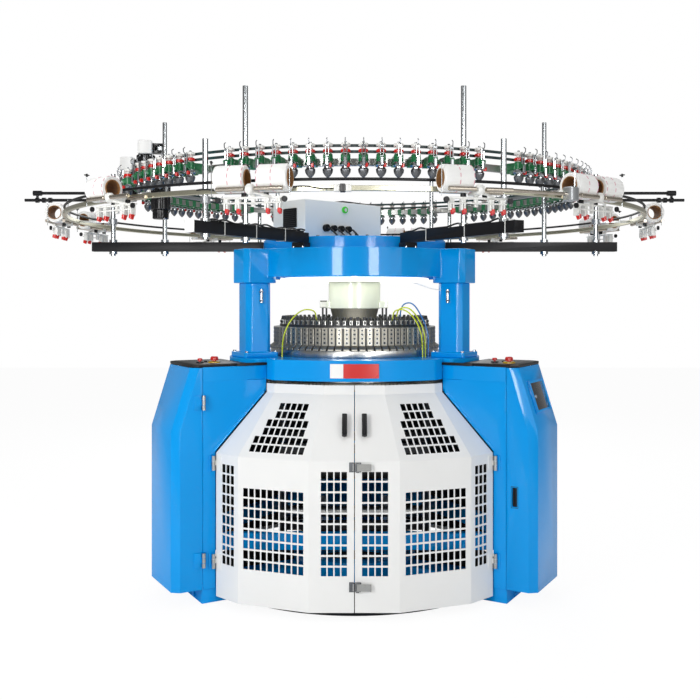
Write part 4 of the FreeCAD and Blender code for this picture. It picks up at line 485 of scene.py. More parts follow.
for name, start, stop, lift, material in (("oil_hose_right", 308, 315, 0.0, yellow_hose),
                                          ("oil_hose_middle", 313, 317.5, 0.010, yellow_hose),
                                          ("air_hose_right", 318, 320.5, 0.034, blue_hose),
                                          ("oil_hose_left", 232, 221, 0.0, yellow_hose)):
    route = hose_route(start, stop, lift)
    curve = bpy.data.curves.new(name, "CURVE")
    curve.dimensions = "3D"
    curve.bevel_depth = HOSE_RADIUS
    curve.use_fill_caps = True
    spline = curve.splines.new("NURBS")
    spline.points.add(len(route) - 1)
    spline.points.foreach_set("co", np.column_stack([route, np.ones(len(route))]).ravel())
    spline.order_u = 3
    spline.use_endpoint_u = True
    spline.resolution_u = 12
    hose = bpy.data.objects.new(name, curve)
    bpy.context.collection.objects.link(hose)
    hose.data.materials.append(material)
    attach(hose, "frame")
    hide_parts("oil_lines")
    length = float(np.linalg.norm(np.diff(route, axis=0), axis=1).sum()) * ROUNDED

# %% [markdown]
# ## Edges
# Castings and folded sheet never end in a knife edge. The large solids are shown as copies with a
# bevel of one to four millimetres, which catches the thin line of light of real paint. A leg's plates
# are bent over along the slope that the doors lie against, so those edges get a wide bevel instead.

# %% Bevelled solids
for node, edge in (("leg_rear", 0.003), ("column_front_left", 0.004), ("column_front_right", 0.004),
                   ("column_rear", 0.004), ("top_ring", 0.004), ("base_frame", 0.003),
                   ("cabinet_top_left", 0.0015), ("cabinet_top_right", 0.0015), ("crown_beams", 0.003),
                   ("cam_ring_base", 0.002), ("cabinet_cover_left", 0.0012), ("cabinet_cover_right", 0.0012),
                   ("control_box", 0.003)):
    softened(node, finishes[node_slot[node]], edge)

# %% Bent edges of the front legs
SLOPE_LOW, SLOPE_HIGH, NEAR = 0.719, 0.996, 0.001
BENT_EDGE, OTHER_EDGES = 0.020, 0.12     # the wide bevel in metres, and the share of it elsewhere
for node in ("leg_front_left", "leg_front_right"):
    leg = softened(node, blue_enamel, BENT_EDGE, 3)
    leg.modifiers["edges"].limit_method = "WEIGHT"
    ends = np.array([[tuple(leg.data.vertices[v].co) for v in edge.vertices] for edge in leg.data.edges])
    low, high = ends[:, :, 2].min(axis=1), ends[:, :, 2].max(axis=1)
    on_slope = (low > SLOPE_LOW - NEAR) & (high < SLOPE_HIGH + NEAR)
    bent = on_slope & (high - low > 0.25) & (high > SLOPE_HIGH - NEAR)
    print(node, "slope edges", int(bent.sum()))
    weights = leg.data.attributes.new("bevel_weight_edge", "FLOAT", "EDGE")
    weights.data.foreach_set("value", np.where(bent, 1.0, OTHER_EDGES).astype(np.float32))

# %% [markdown]
# ## Bed plate
# The bed is a thick cast plate with three slightly curved sides, one between each two legs, and blunt
# corners that carry the columns. Beside the front legs it steps back behind their side plates.
# Its outline is one radius for each direction, so the plate is a ring whose outer radius changes.

# %% Bed
BED_CURVE, BED_FACE, BED_CORNER, BED_BORE, BED_UNDER = 0.900, 0.610, 0.700, 0.425, 1.059
THROAT, BESIDE_LEG = 0.6010, 0.1720
LEGS = (90.0, 210.0, 330.0)
FRONT_LEGS = ((210.0, 1), (330.0, -1))     # azimuth, and which side of the leg the doors are on


def bed_radius(turn):
    """The nearest of three arcs of the side's curve, each set back by curve less face distance, then
    the corner circle, and beside a front leg the larger of throat / cos and plate / sin."""
    lean = np.radians((turn - 270.0 + 60.0) % 120.0 - 60.0)
    back = BED_CURVE - BED_FACE
    side = -back * np.cos(lean) + np.sqrt(BED_CURVE ** 2 - (back * np.sin(lean)) ** 2)
    radius = np.minimum(side, BED_CORNER)
    for leg, front in FRONT_LEGS:
        off = np.radians((turn - leg) * front)
        near = (off > 0.05) & (off < 0.6)
        angle = np.where(near, off, 0.3)
        step = np.maximum(THROAT / np.cos(angle), BESIDE_LEG / np.sin(angle))
        radius = np.where(near, np.minimum(radius, step), radius)
    return radius


corner_turn = math.degrees(math.atan2(BESIDE_LEG, THROAT))
bed_turns = np.unique(np.concatenate([np.arange(0, 360, 1.0), [210 + corner_turn, 330 - corner_turn]]))
outer = bed_radius(bed_turns)
bore = np.full_like(outer, BED_BORE)
angle = np.radians(bed_turns)
rims = [(outer, BED_UNDER), (outer, BED_TOP), (bore, BED_TOP), (bore, BED_UNDER), (outer, BED_UNDER)]
bed_points = np.concatenate([np.stack([r * np.cos(angle), r * np.sin(angle), np.full_like(r, z)], axis=-1)
                             for r, z in rims])
bed = piece("bed_casting", [(bed_points, grid_faces(len(rims), len(angle)))], blue_enamel,
            replaces=("bed_plate",))
bevel = bed.modifiers.new("edges", "BEVEL")
bevel.width, bevel.segments = 0.004, 2
bevel.limit_method, bevel.angle_limit = "ANGLE", math.radians(40)
bevel.harden_normals = True

# %% [markdown]
# The rings are turned on a large lathe. Thin skins, half a millimetre proud of their sides, carry one
# even shading round the whole ring, where a solid's long triangles would warp the highlights.

# %% Ring skins
RING_SKIN_R, TIER_SKIN_R, SKIN = 0.5605, 0.4905, 0.002
skins = [arc_plate(RING_SKIN_R - SKIN, RING_SKIN_R, 1.5670, 1.7030, start + 26.5, start + 93.5, 48)
         for start in (210, 330, 90)]
skins += [arc_plate(TIER_SKIN_R - SKIN, TIER_SKIN_R, 1.7090, 1.7610, start + 3.6, start + 56.4, 40)
          for start in range(0, 360, 60)]
piece("ring_skins", skins, blue_enamel)

# %% [markdown]
# A raised panel closes the head of each front leg beside the bed, a round bead runs down the slope of
# its side plate, a black ledge carries on its top, and each leg stands on a wide foot.

# %% Leg heads, beads and feet
heads, beads, ledges = [], [], []
for azimuth, front in FRONT_LEGS:
    panel = bar((0.6035, 0.9312), reach(front, 0.1725, 0.1766), (1.0600, 1.1272), 0.001, 0.001)
    ledge = bar((THROAT, 0.7600), reach(front, 0.1728, 0.1810), (1.1282, 1.1418), 0.001, 0.001)
    bead = tube([(0.8752, front * 0.1722, 0.7259), (0.6160, front * 0.1722, 0.9969)], 0.0065, 12)
    for forms, form in ((heads, panel), (beads, bead), (ledges, ledge)):
        forms.append(moved(form, turn=azimuth))
piece("leg_heads", heads, blue_enamel)
piece("slope_beads", beads, blue_enamel)
piece("top_ledges", ledges, black_powder)
foot = bar((0.800, 0.9335), (-0.167, 0.167), (0.0015, 0.0715), 0.003, 0.002)
piece("leg_feet", [around(foot, LEGS)], blue_enamel)

# %% [markdown]
# ## Azimuths
# Everything on the crown is placed by its azimuth. The feeders stand on an even spacing and leave the
# places of the poles and of the belt motors free, as the solids do.

# %% Azimuths
POLES = (240.0, 300.0, 60.0, 120.0, 0.0, 180.0)
MOTORS = ((207.3, 1.066, 1.844), (187.7, 1.109, 2.041), (173.2, 1.266, 2.000))     # azimuth, radius, foot
FEEDER_STEPS = 104
feeder_step = 360.0 / FEEDER_STEPS
candidates = (np.arange(FEEDER_STEPS) + 0.5) * feeder_step
blocked = np.array(POLES + tuple(azimuth for azimuth, _, _ in MOTORS))
apart = np.abs((candidates[:, None] - blocked + 180.0) % 360.0 - 180.0).min(axis=1)
feeder_azimuths = candidates[apart > feeder_step * 0.9]
# each unit's azimuth, and on which sides of it a package lies
UNITS = ((256.0, (-1, 1)), (287.0, (-1,)), (232.0, (-1,)), (308.0, (-1, 1)), (182.0, (1,)), (358.0, (-1,)),
         (165.0, (-1, 1)), (20.0, (-1, 1)), (128.0, (-1, 1)), (52.0, (1,)), (104.0, (-1, 1)), (76.0, (-1, 1)))
unit_azimuths = [azimuth for azimuth, _ in UNITS]
print(f"{len(feeder_azimuths)} feeders, {len(UNITS)} elastane units")

# %% [markdown]
# ## Feeders
# A feeder is a small green casting clamped on the rail. Two wheels above it take the flat belts, red
# below and pale above; a chrome bell and a black wire basket below it wind the yarn; a bent wire leads
# the yarn in, and a red lamp lights when the yarn breaks.

# %% Feeder castings and wheels
AXIS = (1.206, 0, 0)
castings = [slab([(1.106, 2.008), (1.150, 2.004), (1.168, 2.016), (1.236, 2.020), (1.240, 2.034),
                  (1.224, 2.046), (1.150, 2.049), (1.106, 2.044)], -0.014, 0.014, 0.003),
            moved(turned_body(0.020, 2.014, 2.050, 0.004, 12), AXIS)]
piece("feeder_castings", every(castings, feeder_azimuths), green_casting,
      replaces=("feeder_bodies",))
pale_parts = [moved(turned_body(0.0205, 2.0795, 2.0925, 0.0025, 14), AXIS),
              moved(turned_body(0.012, 2.068, 2.0795, 0.001, 10), AXIS),
              moved(turned_body(0.0110, 2.046, 2.0545, 0.001, 10), AXIS)]
piece("feeder_pale_wheels", every(pale_parts, feeder_azimuths), white_nylon,
      replaces=("feeder_wheels",))
plates = [bar((1.2285, 1.2355), reach(side, 0.0040, 0.0085), (2.0315, 2.0843), 0.0015, 0.001, 1)
          for side in (-1, 1)]
plates += [bar((1.2285, 1.2355), (-0.0085, 0.0085), (low, low + 0.009), 0.002, 0.001, 1)
           for low in (2.0315, 2.0755)]
plates.append(bar((1.2340, 1.2430), (-0.0075, 0.0075), (1.9990, 2.0330), 0.003, 0.002, 1))
piece("feeder_plates", every(plates, feeder_azimuths), chrome, replaces=("feeder_bodies",))
red_parts = [moved(turned_body(0.0205, 2.0545, 2.0675, 0.0025, 14), AXIS),
             bar((1.222, 1.238), (0.0080, 0.0190), (1.992, 2.008), 0.003, 0.002, 1)]
piece("feeder_red_wheels", every(red_parts, feeder_azimuths), red_abs,
      replaces=("feeder_wheels",))

# %% Feeder bells and baskets
bell = lathe([(0, 2.016), (0.0200, 2.016), (0.0235, 2.010), (0.0245, 2.003), (0.0215, 2.000),
              (0.0165, 1.996), (0.0165, 1.985), (0, 1.985)], 14)
piece("feeder_bells", [around(moved(bell, AXIS), feeder_azimuths)], chrome,
      replaces=("feeder_spools",))
basket = lathe([(0, 1.990), (0.0185, 1.990), (0.0225, 1.984), (0.0205, 1.972), (0.0130, 1.960),
                (0.0035, 1.951), (0, 1.9490)], 9)
cap = turned_body(0.0055, 2.092, 2.100, 0.0015, 8)
hook = tube([(1.236, 0.0, 2.082), (1.246, 0.0, 2.090), (1.247, 0.0, 2.103), (1.238, 0.0, 2.110)], 0.0022, 5)
black_parts = [moved(basket, AXIS), moved(cap, AXIS), hook]
piece("feeder_baskets", every(black_parts, feeder_azimuths), basket_wire,
      replaces=("feeder_spools",))

# %% [markdown]
# ## Elastane units
# Each unit carries one or two packages on two driven rollers. The gear case between the pairs ends in a
# rounded pale cap. Below it a bar carries four yarn stop heads with red lamps, and fine wires with black
# tips stand up to keep the packages in place.

# %% Unit cases
UNIT_R, ROLLER_Z, HALF_SPREAD = 1.570, 1.862, 0.044
ROLLER_R, ROLLER_START, ROLLER_END = 0.009, 0.020, 0.131
PACKAGE_R, PACKAGE_START, PACKAGE_END, PACKAGE_Z = 0.052, 0.026, 0.144, 1.9047
STOP_HEADS = (-0.104, -0.058, 0.058, 0.104)
inner_x, outer_x = UNIT_R - HALF_SPREAD, UNIT_R + HALF_SPREAD
ball = lathe([(0, -0.020), (0.010, -0.0190), (0.0175, -0.0120), (0.0205, 0), (0.0175, 0.0120),
              (0.010, 0.0190), (0, 0.020)], 14)
case_forms = [moved(ball, (outer_x - 0.011, 0, ROLLER_Z)),
              slab([(1.517, 1.846), (1.560, 1.842), (1.612, 1.848), (1.612, 1.868), (1.560, 1.876),
                    (1.517, 1.874)], -0.016, 0.016, 0.004),
              tube([(1.600, 0.0, 1.852), (1.596, 0.030, 1.846), (1.586, 0.060, 1.838), (1.570, 0.075, 1.832)],
                   0.005, 8),
              bar((1.566, 1.576), (-0.128, 0.128), (1.829, 1.837), 0.002, 0.001),
              bar((1.560, 1.572), (-0.008, 0.008), (1.800, 1.850), 0.002, 0.001),
              tube([(1.586, -0.118, 1.812), (1.586, 0.118, 1.812)], 0.003, 8)]
for s in STOP_HEADS:
    case_forms += [bar((1.562, 1.586), (s + post - 0.0034, s + post + 0.0034), (1.786, 1.828), 0.001, 0.001)
                   for post in (-0.0052, 0.0052)]
    case_forms.append(bar((1.564, 1.584), (s - 0.009, s + 0.009), (1.814, 1.829), 0.002, 0.001))
piece("unit_cases", every(case_forms, unit_azimuths), white_nylon,
      replaces=("elastane_brackets", "yarn_sensors"))
lamps = [slab([(1.566, 1.790), (1.588, 1.792), (1.590, 1.776), (1.574, 1.770)], s - 0.002, s + 0.011, 0.002)
         for s in STOP_HEADS]
piece("sensor_lamps", every(lamps, unit_azimuths), red_abs, replaces=("yarn_sensors",))

# %% [markdown]
# Two ground rollers turn each package. On the front right, one unit's roller is driven from the next
# through a slanting shaft and a small case.

# %% Rollers
shaft = turned_body(ROLLER_R, ROLLER_START, ROLLER_END, 0.0012, 14)
roller_forms = [moved(shaft, (x, 0, ROLLER_Z), roll=-90 * side)
                for side in (-1, 1) for x in (inner_x, outer_x)]
coupling = [spot(287.0, outer_x, ROLLER_END, ROLLER_Z), spot(308.0, outer_x, -ROLLER_END - 0.060, ROLLER_Z),
            spot(308.0, outer_x, -ROLLER_END, ROLLER_Z)]
piece("unit_rollers", every(roller_forms, unit_azimuths) + [tube(coupling[:2], 0.007, 12),
                                                            tube(coupling[1:], 0.007, 12)],
      brown_steel, replaces=("elastane_rollers",))
coupling_case = bar((outer_x - 0.024, outer_x + 0.024), (-ROLLER_END - 0.084, -ROLLER_END - 0.040),
                    (ROLLER_Z - 0.028, ROLLER_Z + 0.028), 0.006, 0.004)
clips = [moved(turned_body(0.011, -0.005, 0.005, 0.001, 12), (1.592, side * 0.131, 1.824), tip=90)
         for side in (-1, 1)]
clips += [bar((1.540, 1.556), (side * 0.045 - 0.008, side * 0.045 + 0.008), (1.838, 1.856), 0.002, 0.001)
          for side in (-1, 1)]
piece("unit_clips", every(clips, unit_azimuths), black_powder)
piece("coupling_case", [moved(coupling_case, turn=308.0)], cast_aluminium)

# %% Package wires
WIRE_R, WIRE_OUT = 1.602, 0.154
ARCH_HALF = [(-0.012, 1.880), (-0.012, 1.972), (-0.007, 1.984)]
arch = [(1.540, s, z) for s, z in ARCH_HALF + [(0.0, 1.988)] + [(-s, z) for s, z in ARCH_HALF[::-1]]]
wires, tips = [], []
for azimuth, sides in UNITS:
    for side in sides:
        s = side * WIRE_OUT
        wires.append(moved(tube([(WIRE_R, s, 1.836), (WIRE_R, s, 1.962)], 0.0016, 6), turn=azimuth))
        tips.append(moved(turned_body(0.0042, 1.958, 1.972, 0.001, 8), (WIRE_R, s, 0), azimuth))
        tips.append(moved(bar((-0.012, 0.012), (-0.0025, 0.0025), (1.964, 1.969), 0.001, 0.0005),
                          (WIRE_R, s, 0), azimuth))
wires += [moved(tube(arch, 0.0015, 6), turn=azimuth) for azimuth in (308.0, 182.0, 165.0, 20.0)]
piece("package_wires", wires, chrome)
piece("wire_tips", tips, black_rubber)

# %% [markdown]
# ## Packages
# A package is a lathe form laid on its side, slightly fuller at the middle of each half, with its own
# map of the winding: the first number runs round the package and the second along the profile, both in
# metres. Pink thread marks the middle and the outer rim, in dashes.

# %% Packages
def wound(profile, sides):
    """A closed profile turned about Z, and for each face corner its place round and along the winding."""
    form = lathe(profile, sides)
    steps = np.linalg.norm(np.diff(np.array(profile), axis=0), axis=1)
    along = np.concatenate([[0], np.cumsum(steps)])
    column, row = np.meshgrid(np.arange(sides), np.arange(len(profile) - 1))
    corners = [(column, row), (column + 1, row), (column + 1, row + 1), (column, row + 1)]
    size = 2 * np.pi * PACKAGE_R / sides
    uv = np.stack([np.stack([c * size, along[r]], axis=-1) for c, r in corners], axis=2)
    return form, uv.reshape(-1, 4, 2)


length = PACKAGE_END - PACKAGE_START
half = length / 2
package_profile = [(0.0362, 0.000), (0.0470, -0.0006), (0.0503, 0.0010), (0.0516, 0.0045),
                   (0.0520, half * 0.5), (0.0515, half - 0.003), (0.0513, half), (0.0515, half + 0.003),
                   (0.0520, half * 1.5), (0.0516, length - 0.0045), (0.0503, length - 0.0010),
                   (0.0470, length + 0.0006), (0.0362, length), (0.0362, 0.000)]
package_form, package_uv = wound(package_profile, 40)
dashes = [arc_plate(0.0510, 0.0525, -0.0010, 0.0010, start, start + 17.0, 3)
          for start in np.arange(12) * 30.0]
mark = together(dashes)
package_forms, mark_forms = [], []
for azimuth, sides in UNITS:
    for side in sides:
        place = (UNIT_R, side * PACKAGE_START, PACKAGE_Z)
        package_forms.append(moved(package_form, place, azimuth, roll=-90 * side))
        for share in (0.5, 0.03):
            at = (UNIT_R, side * (PACKAGE_START + length * share), PACKAGE_Z)
            mark_forms.append(moved(mark, at, azimuth, roll=-90 * side))
piece("wound_packages", package_forms, wound_yarn, replaces=("elastane_packages",),
      wind=np.concatenate([package_uv] * len(package_forms)))
piece("package_marks", mark_forms, pink_thread)

# %% [markdown]
# ## Guide ring and rail
# The black ring guides the yarns; the square steel rail below it carries the units.

# %% Guide ring and rail
RAIL_R, RAIL_Z, RAIL_HALF, RAIL_FLAT = 1.500, 1.872, 0.010, 0.0085
ring_angle = np.linspace(0, 2 * np.pi, 12, endpoint=False)
guide_section = np.stack([RAIL_R + 0.006 * np.cos(ring_angle), 1.907 + 0.006 * np.sin(ring_angle)], axis=-1)
piece("guide_ring", [hoop(guide_section, 240)], black_powder, replaces=("elastane_rings",))
corners = np.array([(-RAIL_FLAT, -RAIL_HALF), (RAIL_FLAT, -RAIL_HALF), (RAIL_HALF, -RAIL_FLAT),
                    (RAIL_HALF, RAIL_FLAT)])
rail_section = np.array([RAIL_R, RAIL_Z]) + np.concatenate([corners, -corners])
piece("elastane_rail", [hoop(rail_section, 240)], olive_steel, replaces=("elastane_rings",))

# %% Rail clamp, cable and arms
CLAMP_AT = 268.3
clamp_ends = [bar((RAIL_R - 0.014, RAIL_R + 0.014), reach(side, 0.011, 0.034),
                  (RAIL_Z - 0.013, RAIL_Z + 0.014), 0.003, 0.002) for side in (-1, 1)]
piece("rail_clamp", [moved(form, turn=CLAMP_AT) for form in clamp_ends], white_nylon)
rail_turns = np.radians(np.linspace(246.0, 267.0, 40))
wave = 1.5135 + 0.003 * np.sin(rail_turns * 60)
rail_cable = np.stack([wave * np.cos(rail_turns), wave * np.sin(rail_turns),
                       RAIL_Z + 0.002 + 0.006 * np.sin(rail_turns * 47)], axis=-1)
clamp_band = bar((RAIL_R - 0.016, RAIL_R + 0.017), (-0.0105, 0.0105), (RAIL_Z - 0.015, RAIL_Z + 0.016),
                 0.003, 0.002)
piece("rail_cable", [tube(rail_cable, 0.0032, 6), moved(clamp_band, turn=CLAMP_AT)], black_cable)
SHORT_POLES = {0.0: 1.310, 180.0: 1.310, 60.0: 1.260, 120.0: 1.260, 240.0: 1.260, 300.0: 1.260}
collar = lathe([(0.0127, -0.014), (0.0215, -0.014), (0.0215, 0.014), (0.0127, 0.014), (0.0127, -0.014)], 20)
arms = []
for azimuth, radius in SHORT_POLES.items():
    arms.append(moved(collar, (radius, 0, RAIL_Z), azimuth))
    arms.append(moved(bar((radius + 0.019, 1.4905), (-0.006, 0.006), (1.866, 1.878), 0.002, 0.001),
                      turn=azimuth))
    arms.append(moved(bar((1.495, 1.505), (-0.005, 0.005), (1.881, 1.903), 0.001, 0.001), turn=azimuth))
piece("rail_arms", arms, cast_aluminium, replaces=("elastane_brackets",))

# %% [markdown]
# ## Belt motors
# Three motors drive the belts: a pale gear box, a black body with upright cooling flutes, a smaller boss
# below, and a black bracket with the belt pulley on the inboard side.

# %% Motors
def fluted(radius, depth, flutes, low, high):
    """A round body with upright flutes: the radius drops by the depth in every second sector."""
    sides = flutes * 6
    angle = np.arange(sides) * 2 * np.pi / sides
    cut = np.clip(1.6 * np.cos(angle * flutes), -1, 1) * 0.5 + 0.5
    r = radius - depth * (1 - cut)
    levels = np.array([(0, low), (0.94, low), (1, low + 0.003), (1, high - 0.003), (0.94, high), (0, high)])
    points = np.stack([levels[:, :1] * r * np.cos(angle), levels[:, :1] * r * np.sin(angle),
                       np.repeat(levels[:, 1:], sides, axis=1)], axis=-1)
    return points.reshape(-1, 3), grid_faces(6, sides)


black_forms, pale_forms, bright_forms = [], [], []
for azimuth, radius, low in MOTORS:
    seat = (radius, 0, 0)
    body_low, box_low, box_high = low + 0.044, low + 0.168, low + 0.239
    middle = (box_low + box_high) / 2
    flange = bar((-0.034, 0.034), (-0.060, 0.060), (box_low - 0.004, box_low), 0.004)
    jaws = [bar((-0.096, -0.035), (-0.030, 0.030), (z - 0.006, z + 0.006), 0.005)
            for z in (middle - 0.019, middle + 0.019)]
    back = bar((-0.048, -0.035), (-0.030, 0.030), (middle - 0.019, middle + 0.019), 0.002)
    black_forms += [moved(form, seat, azimuth) for form in
                    (fluted(0.0485, 0.005, 14, body_low, box_low), fluted(0.0400, 0.002, 8, low, body_low),
                     flange, *jaws, back)]
    pulley = turned_body(0.024, middle - 0.012, middle + 0.012, 0.002, 20)
    screw = turned_body(0.0035, box_low - 0.012, box_low - 0.004, 0.001, 8)
    bright_forms.append(moved(pulley, (radius - 0.072, 0, 0), azimuth))
    bright_forms += [moved(screw, (radius + x, y, 0), azimuth)
                     for x in (-0.026, 0.026) for y in (-0.052, 0.052)]
    pale_forms.append(moved(bar((-0.036, 0.036), (-0.068, 0.068), (box_low, box_high), 0.010, 0.003),
                            seat, azimuth))
for x, z, azimuth in (((1.086, 1.1112), (2.016, 2.036), 207.3), ((1.1328, 1.236), (2.024, 2.038), 173.2)):
    black_forms.append(moved(bar(x, (-0.020, 0.020), z, 0.003), turn=azimuth))
piece("motor_bodies", black_forms, gloss_black, replaces=("belt_motors",))
piece("motor_gear_boxes", pale_forms, white_powder, replaces=("belt_motors",))
piece("motor_pulleys", bright_forms, chrome, replaces=("belt_motors",))

# %% [markdown]
# ## Crown
# White cable ties hold black cables along the front beams, and a grey cap closes the front left beam.

# %% Ties and cables
FRONT_LOW, FRONT_HIGH = 1.730, 1.780
TIE_LOW, TIE_HIGH, TIE_IN, TIE_OUT = FRONT_LOW - 0.0012, FRONT_HIGH + 0.008, 0.0251, 0.0268
tie_bars = (((-TIE_OUT, -TIE_IN), (TIE_LOW, TIE_HIGH)), ((TIE_IN, TIE_OUT), (TIE_LOW, TIE_HIGH)),
            ((-TIE_OUT, TIE_OUT), (TIE_HIGH - 0.001, TIE_HIGH + 0.001)),
            ((-TIE_OUT, TIE_OUT), (TIE_LOW - 0.001, TIE_LOW + 0.0008)))
ties = [moved(bar((radius - 0.0025, radius + 0.0025), y, z, 0.0006, 0.0004), turn=azimuth)
        for azimuth, radii in ((240.0, (0.70, 0.93, 1.16)), (300.0, (0.72, 1.02, 1.30)))
        for radius in radii for y, z in tie_bars]
piece("cable_ties", ties, white_nylon)
cables = []
for azimuth, offset, phase in ((240.0, -0.014, 0.0), (240.0, 0.006, 1.4), (240.0, 0.017, 2.6),
                               (300.0, -0.010, 0.6)):
    along = np.linspace(0.52, 1.24, 28)
    rise = FRONT_HIGH + 0.0045 + 0.011 * np.clip(np.sin(along * 21 + phase), 0, 1) ** 2
    sway = offset + 0.004 * np.sin(along * 13 + phase)
    cables.append(moved(tube(np.stack([along, sway, rise], axis=-1), 0.0042, 7), turn=azimuth))
piece("beam_cables", cables, black_cable)
cap = bar((1.3595, 1.3635), (-0.0255, 0.0255), (FRONT_LOW - 0.0005, FRONT_HIGH + 0.0005), 0.003, 0.001)
piece("beam_cap", [moved(cap, turn=240.0)], grey_powder)

# %% [markdown]
# The control box has a row of cable glands and a ring lamp on its front, a slatted vent at its end, and
# two caps on its lid with a cable laid across.

# %% Control box
BOX_CORNER, BOX_ANGLE, BOX_LENGTH, BOX_LOW, BOX_HEIGHT = (-0.260, -0.150), 43.5, 0.564, 1.764, 0.217
BOX_TOP, CABLE_R = BOX_LOW + BOX_HEIGHT, 0.0050


def on_box(form):
    """A form drawn on the control box (X along its front, Y into it) turned and moved to its place."""
    points, faces = moved(form, turn=BOX_ANGLE)
    return points + np.array([BOX_CORNER[0], BOX_CORNER[1], 0.0]), faces


gland_forms, cable_forms = [], []
for index in range(4):
    x, z = BOX_LENGTH / 4 + index * 0.054, BOX_LOW + 0.070
    size = 0.0200 if index == 0 else 0.0175
    gland_forms.append(on_box(moved(turned_body(size, 0, 0.024, 0.002, 12), (x, 0, z), roll=90)))
    lead = [(x, -0.020, z), (x + 0.008, -0.040, z - 0.006), (x + 0.028, -0.052, z - 0.030),
            (x + 0.060, -0.054, BOX_LOW + 0.010), (x + 0.085, -0.054, BOX_LOW + 0.005)]
    cable_forms.append(on_box(tube(lead, CABLE_R, 8)))
gland_forms.append(on_box(bar((-0.0075, 0.0), (0.0675, 0.1755), (BOX_LOW + 0.070, BOX_LOW + 0.174),
                              0.001, 0.001)))
gland_forms.append(on_box(tube([(0.372, -0.004, BOX_LOW + 0.008), (0.360, -0.006, BOX_LOW + 0.060)],
                               0.003, 8)))
lid_cap = lathe([(0, 0), (0.022, 0), (0.020, 0.006), (0.010, 0.010), (0, 0.011)], 16)
gland_forms += [on_box(moved(lid_cap, (x, y, BOX_TOP))) for x, y in ((0.300, 0.120), (0.400, 0.060))]
lid_cable = [(0.300, 0.120, BOX_TOP + 0.010), (0.350, 0.085, BOX_TOP + 0.016),
             (0.400, 0.060, BOX_TOP + 0.011), (0.480, 0.040, BOX_TOP + 0.006),
             (0.560, 0.020, BOX_TOP + 0.006), (0.575, 0.016, BOX_TOP - 0.020),
             (0.572, 0.016, BOX_LOW + 0.030)]
cable_forms.append(on_box(tube(lid_cable, CABLE_R, 8)))
piece("box_glands", gland_forms, black_powder)
piece("box_cables", cable_forms, black_cable)
slats = [on_box(bar((-0.0082, -0.0070), (0.0735, 0.1695), (BOX_LOW + z, BOX_LOW + z + 0.002), 0.0004, 0.0003))
         for z in np.linspace(0.080, 0.162, 9)]
piece("vent_slats", slats, black_iron)

# %% Ring lamp
lamp_place = (BOX_LENGTH / 2, 0, BOX_LOW + 0.176)
rim = lathe([(0.0105, 0.0), (0.0185, 0.0), (0.0185, 0.010), (0.0160, 0.0125), (0.0105, 0.0125),
             (0.0105, 0.0)], 24)
piece("ring_lamp_rim", [on_box(moved(rim, lamp_place, roll=90))], green_lit)
piece("ring_lamp_face", [on_box(moved(turned_body(0.0106, 0, 0.0118, 0.001, 16), lamp_place, roll=90))],
      white_nylon)

# %% [markdown]
# ## Knitting head
# Seventy-two cam boxes stand round the needle cylinder. Each has four screws in a row, with bright rims
# round dark sockets. On the dial's cam plate stand as many bright slide blocks with black knobs.

# %% Cam boxes
CAM_BOXES, CAM_HALF, CAM_LOW, CAM_FACE = 72, 0.0152, 1.195, 0.4358
CAM_STEP = 360.0 / CAM_BOXES
cam_turns = np.arange(CAM_BOXES) * CAM_STEP
cam_body = slab([(0.396, CAM_LOW), (0.436, CAM_LOW), (0.436, 1.307), (0.396, 1.307)], -CAM_HALF, CAM_HALF,
                0.0014)
cam_foot = slab([(0.430, CAM_LOW), (0.460, CAM_LOW), (0.460, 1.203), (0.436, 1.221), (0.430, 1.221)],
                -CAM_HALF, CAM_HALF)
piece("cam_box_blocks", every((cam_body, cam_foot), cam_turns), cam_steel,
      replaces=("cam_boxes",))
rims, sockets = [], []
for z, size in ((1.2970, 0.0076), (1.2770, 0.0088), (1.2560, 0.0082), (1.2340, 0.0094)):
    rim_form = lathe([(size * 0.66, 0.0), (size, 0.0), (size * 0.94, 0.0014), (size * 0.66, 0.0014),
                      (size * 0.66, 0.0)], 10)
    socket = lathe([(0, 0.0), (size * 0.70, 0.0), (size * 0.70, 0.0009), (0, 0.0009)], 8)
    rims.append(moved(rim_form, (CAM_FACE, 0, z), tip=90))
    sockets.append(moved(socket, (CAM_FACE, 0, z), tip=90))
piece("cam_screw_rims", every(rims, cam_turns), bright_steel)
piece("cam_screw_sockets", every(sockets, cam_turns), black_iron)
gap = bar((0.398, 0.434), (-0.0042, 0.0042), (1.196, 1.304), 0.0005, 0.0005)
piece("cam_gap_strips", [around(gap, cam_turns + CAM_STEP / 2)], black_iron)

# %% Slide blocks, knobs and needles
knob_turns = (np.arange(CAM_BOXES) + 0.5) * CAM_STEP
blocks = [bar((0.3735, 0.3985), (-0.0095, 0.0095), (1.3205, 1.3440), 0.004, 0.0015),
          moved(turned_body(0.0065, 1.3440, 1.3500, 0.001, 10), (0.386, 0, 0))]
piece("dial_slide_blocks", every(blocks, knob_turns), bright_steel)
knobs = [moved(turned_body(0.0085, 1.3490, 1.3630, 0.0025, 12), (0.386, 0, 0)),
         bar((0.3980, 0.4025), (-0.0040, 0.0040), (1.3260, 1.3400), 0.001, 0.0008)]
between = [moved(turned_body(0.0048, 1.3205, 1.3520, 0.0015, 8), (0.392, 0, 0)),
           moved(turned_body(0.0060, 1.3205, 1.3560, 0.0015, 8), (0.364, 0, 0))]
piece("dial_knobs", every(knobs, knob_turns) + every(between, knob_turns + CAM_STEP / 2), black_iron)
lip = np.array([(0.400, 1.3070), (0.4062, 1.3070), (0.4062, 1.3090), (0.400, 1.3090)])
piece("cam_plate_lip", [hoop(lip, 144)], bright_steel)
needle = tube([(0.3745, 0, 1.250), (0.3745, 0, 1.2925)], 0.0007, 4)
piece("needles", [around(needle, np.arange(360) * 1.0)], bright_steel, body="cylinder")

